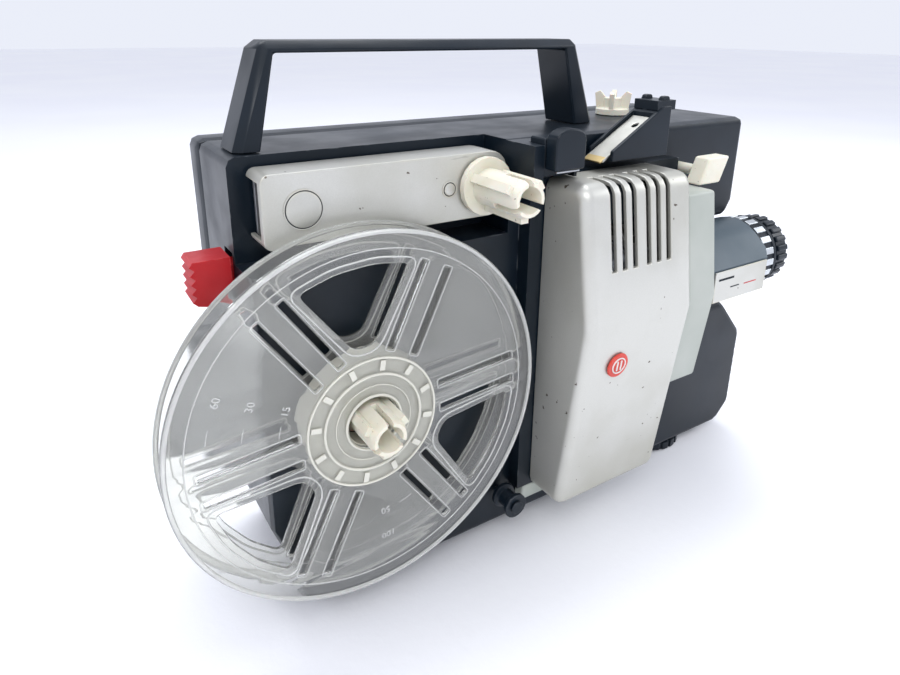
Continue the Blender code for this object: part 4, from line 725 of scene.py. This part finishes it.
def arm_details(silver, dark):
    low, high = corners("supply_arm")
    face = low.y
    height = (low.z + high.z) / 2
    pivot_x = centre("arm_pivot_pin").x
    spots = (("arm_pivot_cap", pivot_x, 5.9 * MM), ("arm_rivet", low.x + 62.5 * MM, 2.5 * MM))
    for name, x, radius in spots:
        place = facing("-Y", (x, face, height))
        cap = [
            (0, 0), (radius - 0.45 * MM, 0), (radius - 0.45 * MM, 0.35 * MM),
            (radius - 0.8 * MM, 0.55 * MM), (0, 0.55 * MM),
        ]
        rim = [
            (radius - 0.1 * MM, -0.3 * MM), (radius + 0.35 * MM, -0.3 * MM), (radius + 0.35 * MM, 0.3 * MM),
            (radius + 0.1 * MM, 0.4 * MM), (radius - 0.1 * MM, 0.3 * MM),
        ]
        # A thin dark disc shows in the gap between the cap and its rim: painted shade for the groove.
        painted_groove_shade = [(0, -0.2 * MM), (radius, -0.2 * MM), (radius, 0.06 * MM), (0, 0.06 * MM)]
        piece(name, lathe(cap, place, 64), silver, "arm", 0.0, 30)
        piece(name + "_rim", lathe(rim, place, 64), silver, "arm", 0.0, 50)
        piece(name + "_groove", lathe(painted_groove_shade, place, 64), dark, "arm", 0.0, 50)


SCREW_INSET = 14 * MM  # from the edge of the far shell
SCREW_TURN = 0.6  # radians from level to the slot


def screws(steel, dark):
    """Slotted screws that hold the far shell to the near one; each slot is a thin dark brick of painted
    shade, not a cut.
    """
    low, high = corners("far_shell")
    left = low.x + SCREW_INSET
    bottom, top = low.z + SCREW_INSET, high.z - SCREW_INSET
    spots = ((left, bottom), (left, top), (high.x - 44 * MM, top), (high.x - 30 * MM, bottom))
    for number, (x, z) in enumerate(spots, 1):
        back = Matrix.Translation((x, high.y, z)) @ Matrix.Rotation(math.radians(-90), 4, "X")
        head = [
            (0, -1 * MM), (3 * MM, -1 * MM), (3 * MM, -0.25 * MM), (2.4 * MM, -0.08 * MM), (0, -0.05 * MM),
        ]
        piece(f"shell_screw_{number}", lathe(head, back, 40), steel, "housing", 0.0, 30)
        # The slot is painted shade: a thin dark brick on the head, not a cut.
        turned = back @ Matrix.Rotation(SCREW_TURN, 4, "Z") @ Matrix.Translation((0, 0, -0.04 * MM))
        slot = brick((4.2 * MM, 0.7 * MM, 0.1 * MM), turned)
        piece(f"shell_screw_painted_slot_shade_{number}", slot, dark, "housing", 0.0)


def badge_mark(pale):
    """A plain ring and two bars on the red badge."""
    low, high = corners("cover_badge")
    middle = (low + high) / 2
    radius = (high.x - low.x) / 2
    face = Matrix.Translation((middle.x, low.y, middle.z)) @ badge_tilt()
    ring = bead(arc(radius * 0.62, 0, 350, 35), 0.28 * MM, face @ facing("-Y", (0, 0.45 * MM, 0)))
    bars = [
        brick(
            (0.5 * MM, 0.5 * MM, radius * 0.8), face @ Matrix.Translation((side * 0.9 * MM, 0.45 * MM, 0))
        )
        for side in (-1, 1)
    ]
    piece("badge_mark", merged([ring, *bars]), pale, "lamp_door", 0.0, 60)


def badge_tilt():
    """The badge leans with the lower face of the cover."""
    normals = [p.normal for p in NODES["cover_badge"].data.polygons]
    areas = [p.area for p in NODES["cover_badge"].data.polygons]
    lean = sum((n * a for n, a in zip(normals, areas) if n.y < -0.8), Vector()).normalized()
    return Vector((0, -1, 0)).rotation_difference(lean).to_matrix().to_4x4()


def chute_details(black, brass):
    low, high = corners("film_chute")
    middle_y = (low.y + high.y) / 2
    outline = [(-2.6 * MM, -1 * MM), (2.4 * MM, -1 * MM), (1.5 * MM, 1.5 * MM), (-1.5 * MM, 1.5 * MM)]
    ears = []
    for side in (-1, 1):
        spot = Matrix.Translation((high.x - 4.6 * MM, middle_y + side * 4.1 * MM, high.z))
        upright = spot @ Matrix.Rotation(math.radians(90), 4, "X")
        ears.append(plate(rounded_corners(outline, 0.8 * MM), -1.1 * MM, 1.1 * MM, upright))
    piece("chute_cap_ears", merged(ears), black, "chute", 0.3 * MM)
    lip_low, lip_high = corners("chute_liner")
    place = Matrix.Translation((lip_low.x + 0.4 * MM, middle_y, lip_low.z + 0.9 * MM))
    slope = Matrix.Rotation(math.radians(-31), 4, "Y")
    lip = brick((3.2 * MM, lip_high.y - lip_low.y - 0.6 * MM, 0.7 * MM), place @ slope)
    piece("chute_lip", lip, brass, "chute", 0.25 * MM)


def dress_nodes(finishes):
    dress("near_shell far_shell", finishes["black"], 0.25 * MM, 40)
    dress("carry_handle mains_inlet cutter_block cutter_press film_chute", finishes["black"], 0.3 * MM)
    dress("lens_barrel fan guide_roller roller_pin sprocket_1 sprocket_2", finishes["black"], 0.2 * MM)
    dress("takeup_pulley supply_pulley levelling_foot", finishes["black"], 0.2 * MM)
    dress("lamp_cover supply_arm", finishes["silver"], 0.4 * MM)
    dress("lens_label", finishes["label"], 0.12 * MM)
    dress("gate_cover base_plate", finishes["pale"], 0.35 * MM)
    dress("lens_housing", finishes["slate"], 0.3 * MM)
    dress("takeup_spindle supply_spindle speed_knob framing_knob", finishes["ivory"], 0.25 * MM)
    dress("control_lever", finishes["red"], 0.25 * MM)
    dress("cover_badge", finishes["badge"], 0.2 * MM)
    dress("front_lens rear_lens lamp_bulb lamp_reflector", finishes["glass"])
    dress("chute_liner", finishes["bright"], 0.15 * MM)
    dress("main_pulley motor_pulley", finishes["brass"], 0.15 * MM)
    dress("arm_back_plate arm_pivot_pin claw_arm cutter_blade", finishes["steel"], 0.1 * MM)
    dress("film_gate pressure_plate", finishes["steel"], 0.1 * MM)
    dress("lamp_carrier lever_pin main_shaft motor_shaft motor", finishes["steel"], 0.15 * MM)
    dress("shutter_disc mechanism_plate", finishes["steel"], 0.15 * MM)
    dress("transformer", finishes["winding"], 0.3 * MM)
    dress("lamp_socket", finishes["ceramic"], 0.3 * MM)
    dress("arm_belt drive_belt rubber_foot_1 rubber_foot_2 rubber_foot_3", finishes["rubber"], 0.15 * MM)


def main():
    camera()
    surroundings()
    finishes = {
        "black": black_plastic(),
        # dark print on the lens label, painted shade in the cap grooves and screw slots, and the zoom
        # ring's own black
        "dark": black_plastic("dark_print_and_painted_shade", 0.5),
        "slate": slate_plastic(),
        "silver": silver_paint(),
        "label": silver_paint("label_foil", (1, 10, 1)),
        "pale": pale_plastic(),
        "ivory": ivory_plastic(),
        "red": red_plastic(),
        "badge": red_plastic("badge_red", (0.66, 0.05, 0.03)),
        "clear": clear_plastic("clear_plastic", (0.97, 0.97, 0.93), 0.93),
        # whiter and less clear than the flanges: painted highlight on the reel's moulded ridges and scale
        "ridge": clear_plastic("moulded_ridge_painted_highlight", (0.97, 0.97, 0.94), 0.6, 0.12),
        "milky": clear_plastic("milky_plastic", (0.88, 0.86, 0.76), 0.3, 0.18),
        "glass": glass(),
        "bright": metal("bright_metal", (0.60, 0.59, 0.54), 0.3),
        "teeth": metal("ring_silver", (0.62, 0.65, 0.67), 0.34),
        "steel": metal("steel", (0.5, 0.51, 0.53), 0.35),
        "brass": metal("brass", (0.62, 0.48, 0.24), 0.34),
        "winding": matte("copper_winding", (0.38, 0.15, 0.07), 0.5, 2500),
        "ceramic": matte("ceramic", (0.80, 0.78, 0.73), 0.6),
        "rubber": matte("rubber", (0.025, 0.025, 0.027), 0.8),
        "print": matte("white_print", (0.85, 0.83, 0.80), 0.5),
    }
    dress_nodes(finishes)
    reel(finishes["clear"], finishes["ridge"], finishes["milky"])
    zoom_ring(finishes["teeth"], finishes["dark"])
    focus_ring(finishes["black"])
    lens_markings(finishes["dark"], finishes["red"])
    arm_details(finishes["silver"], finishes["dark"])
    screws(finishes["steel"], finishes["dark"])
    badge_mark(finishes["print"])
    chute_details(finishes["black"], finishes["brass"])


main()
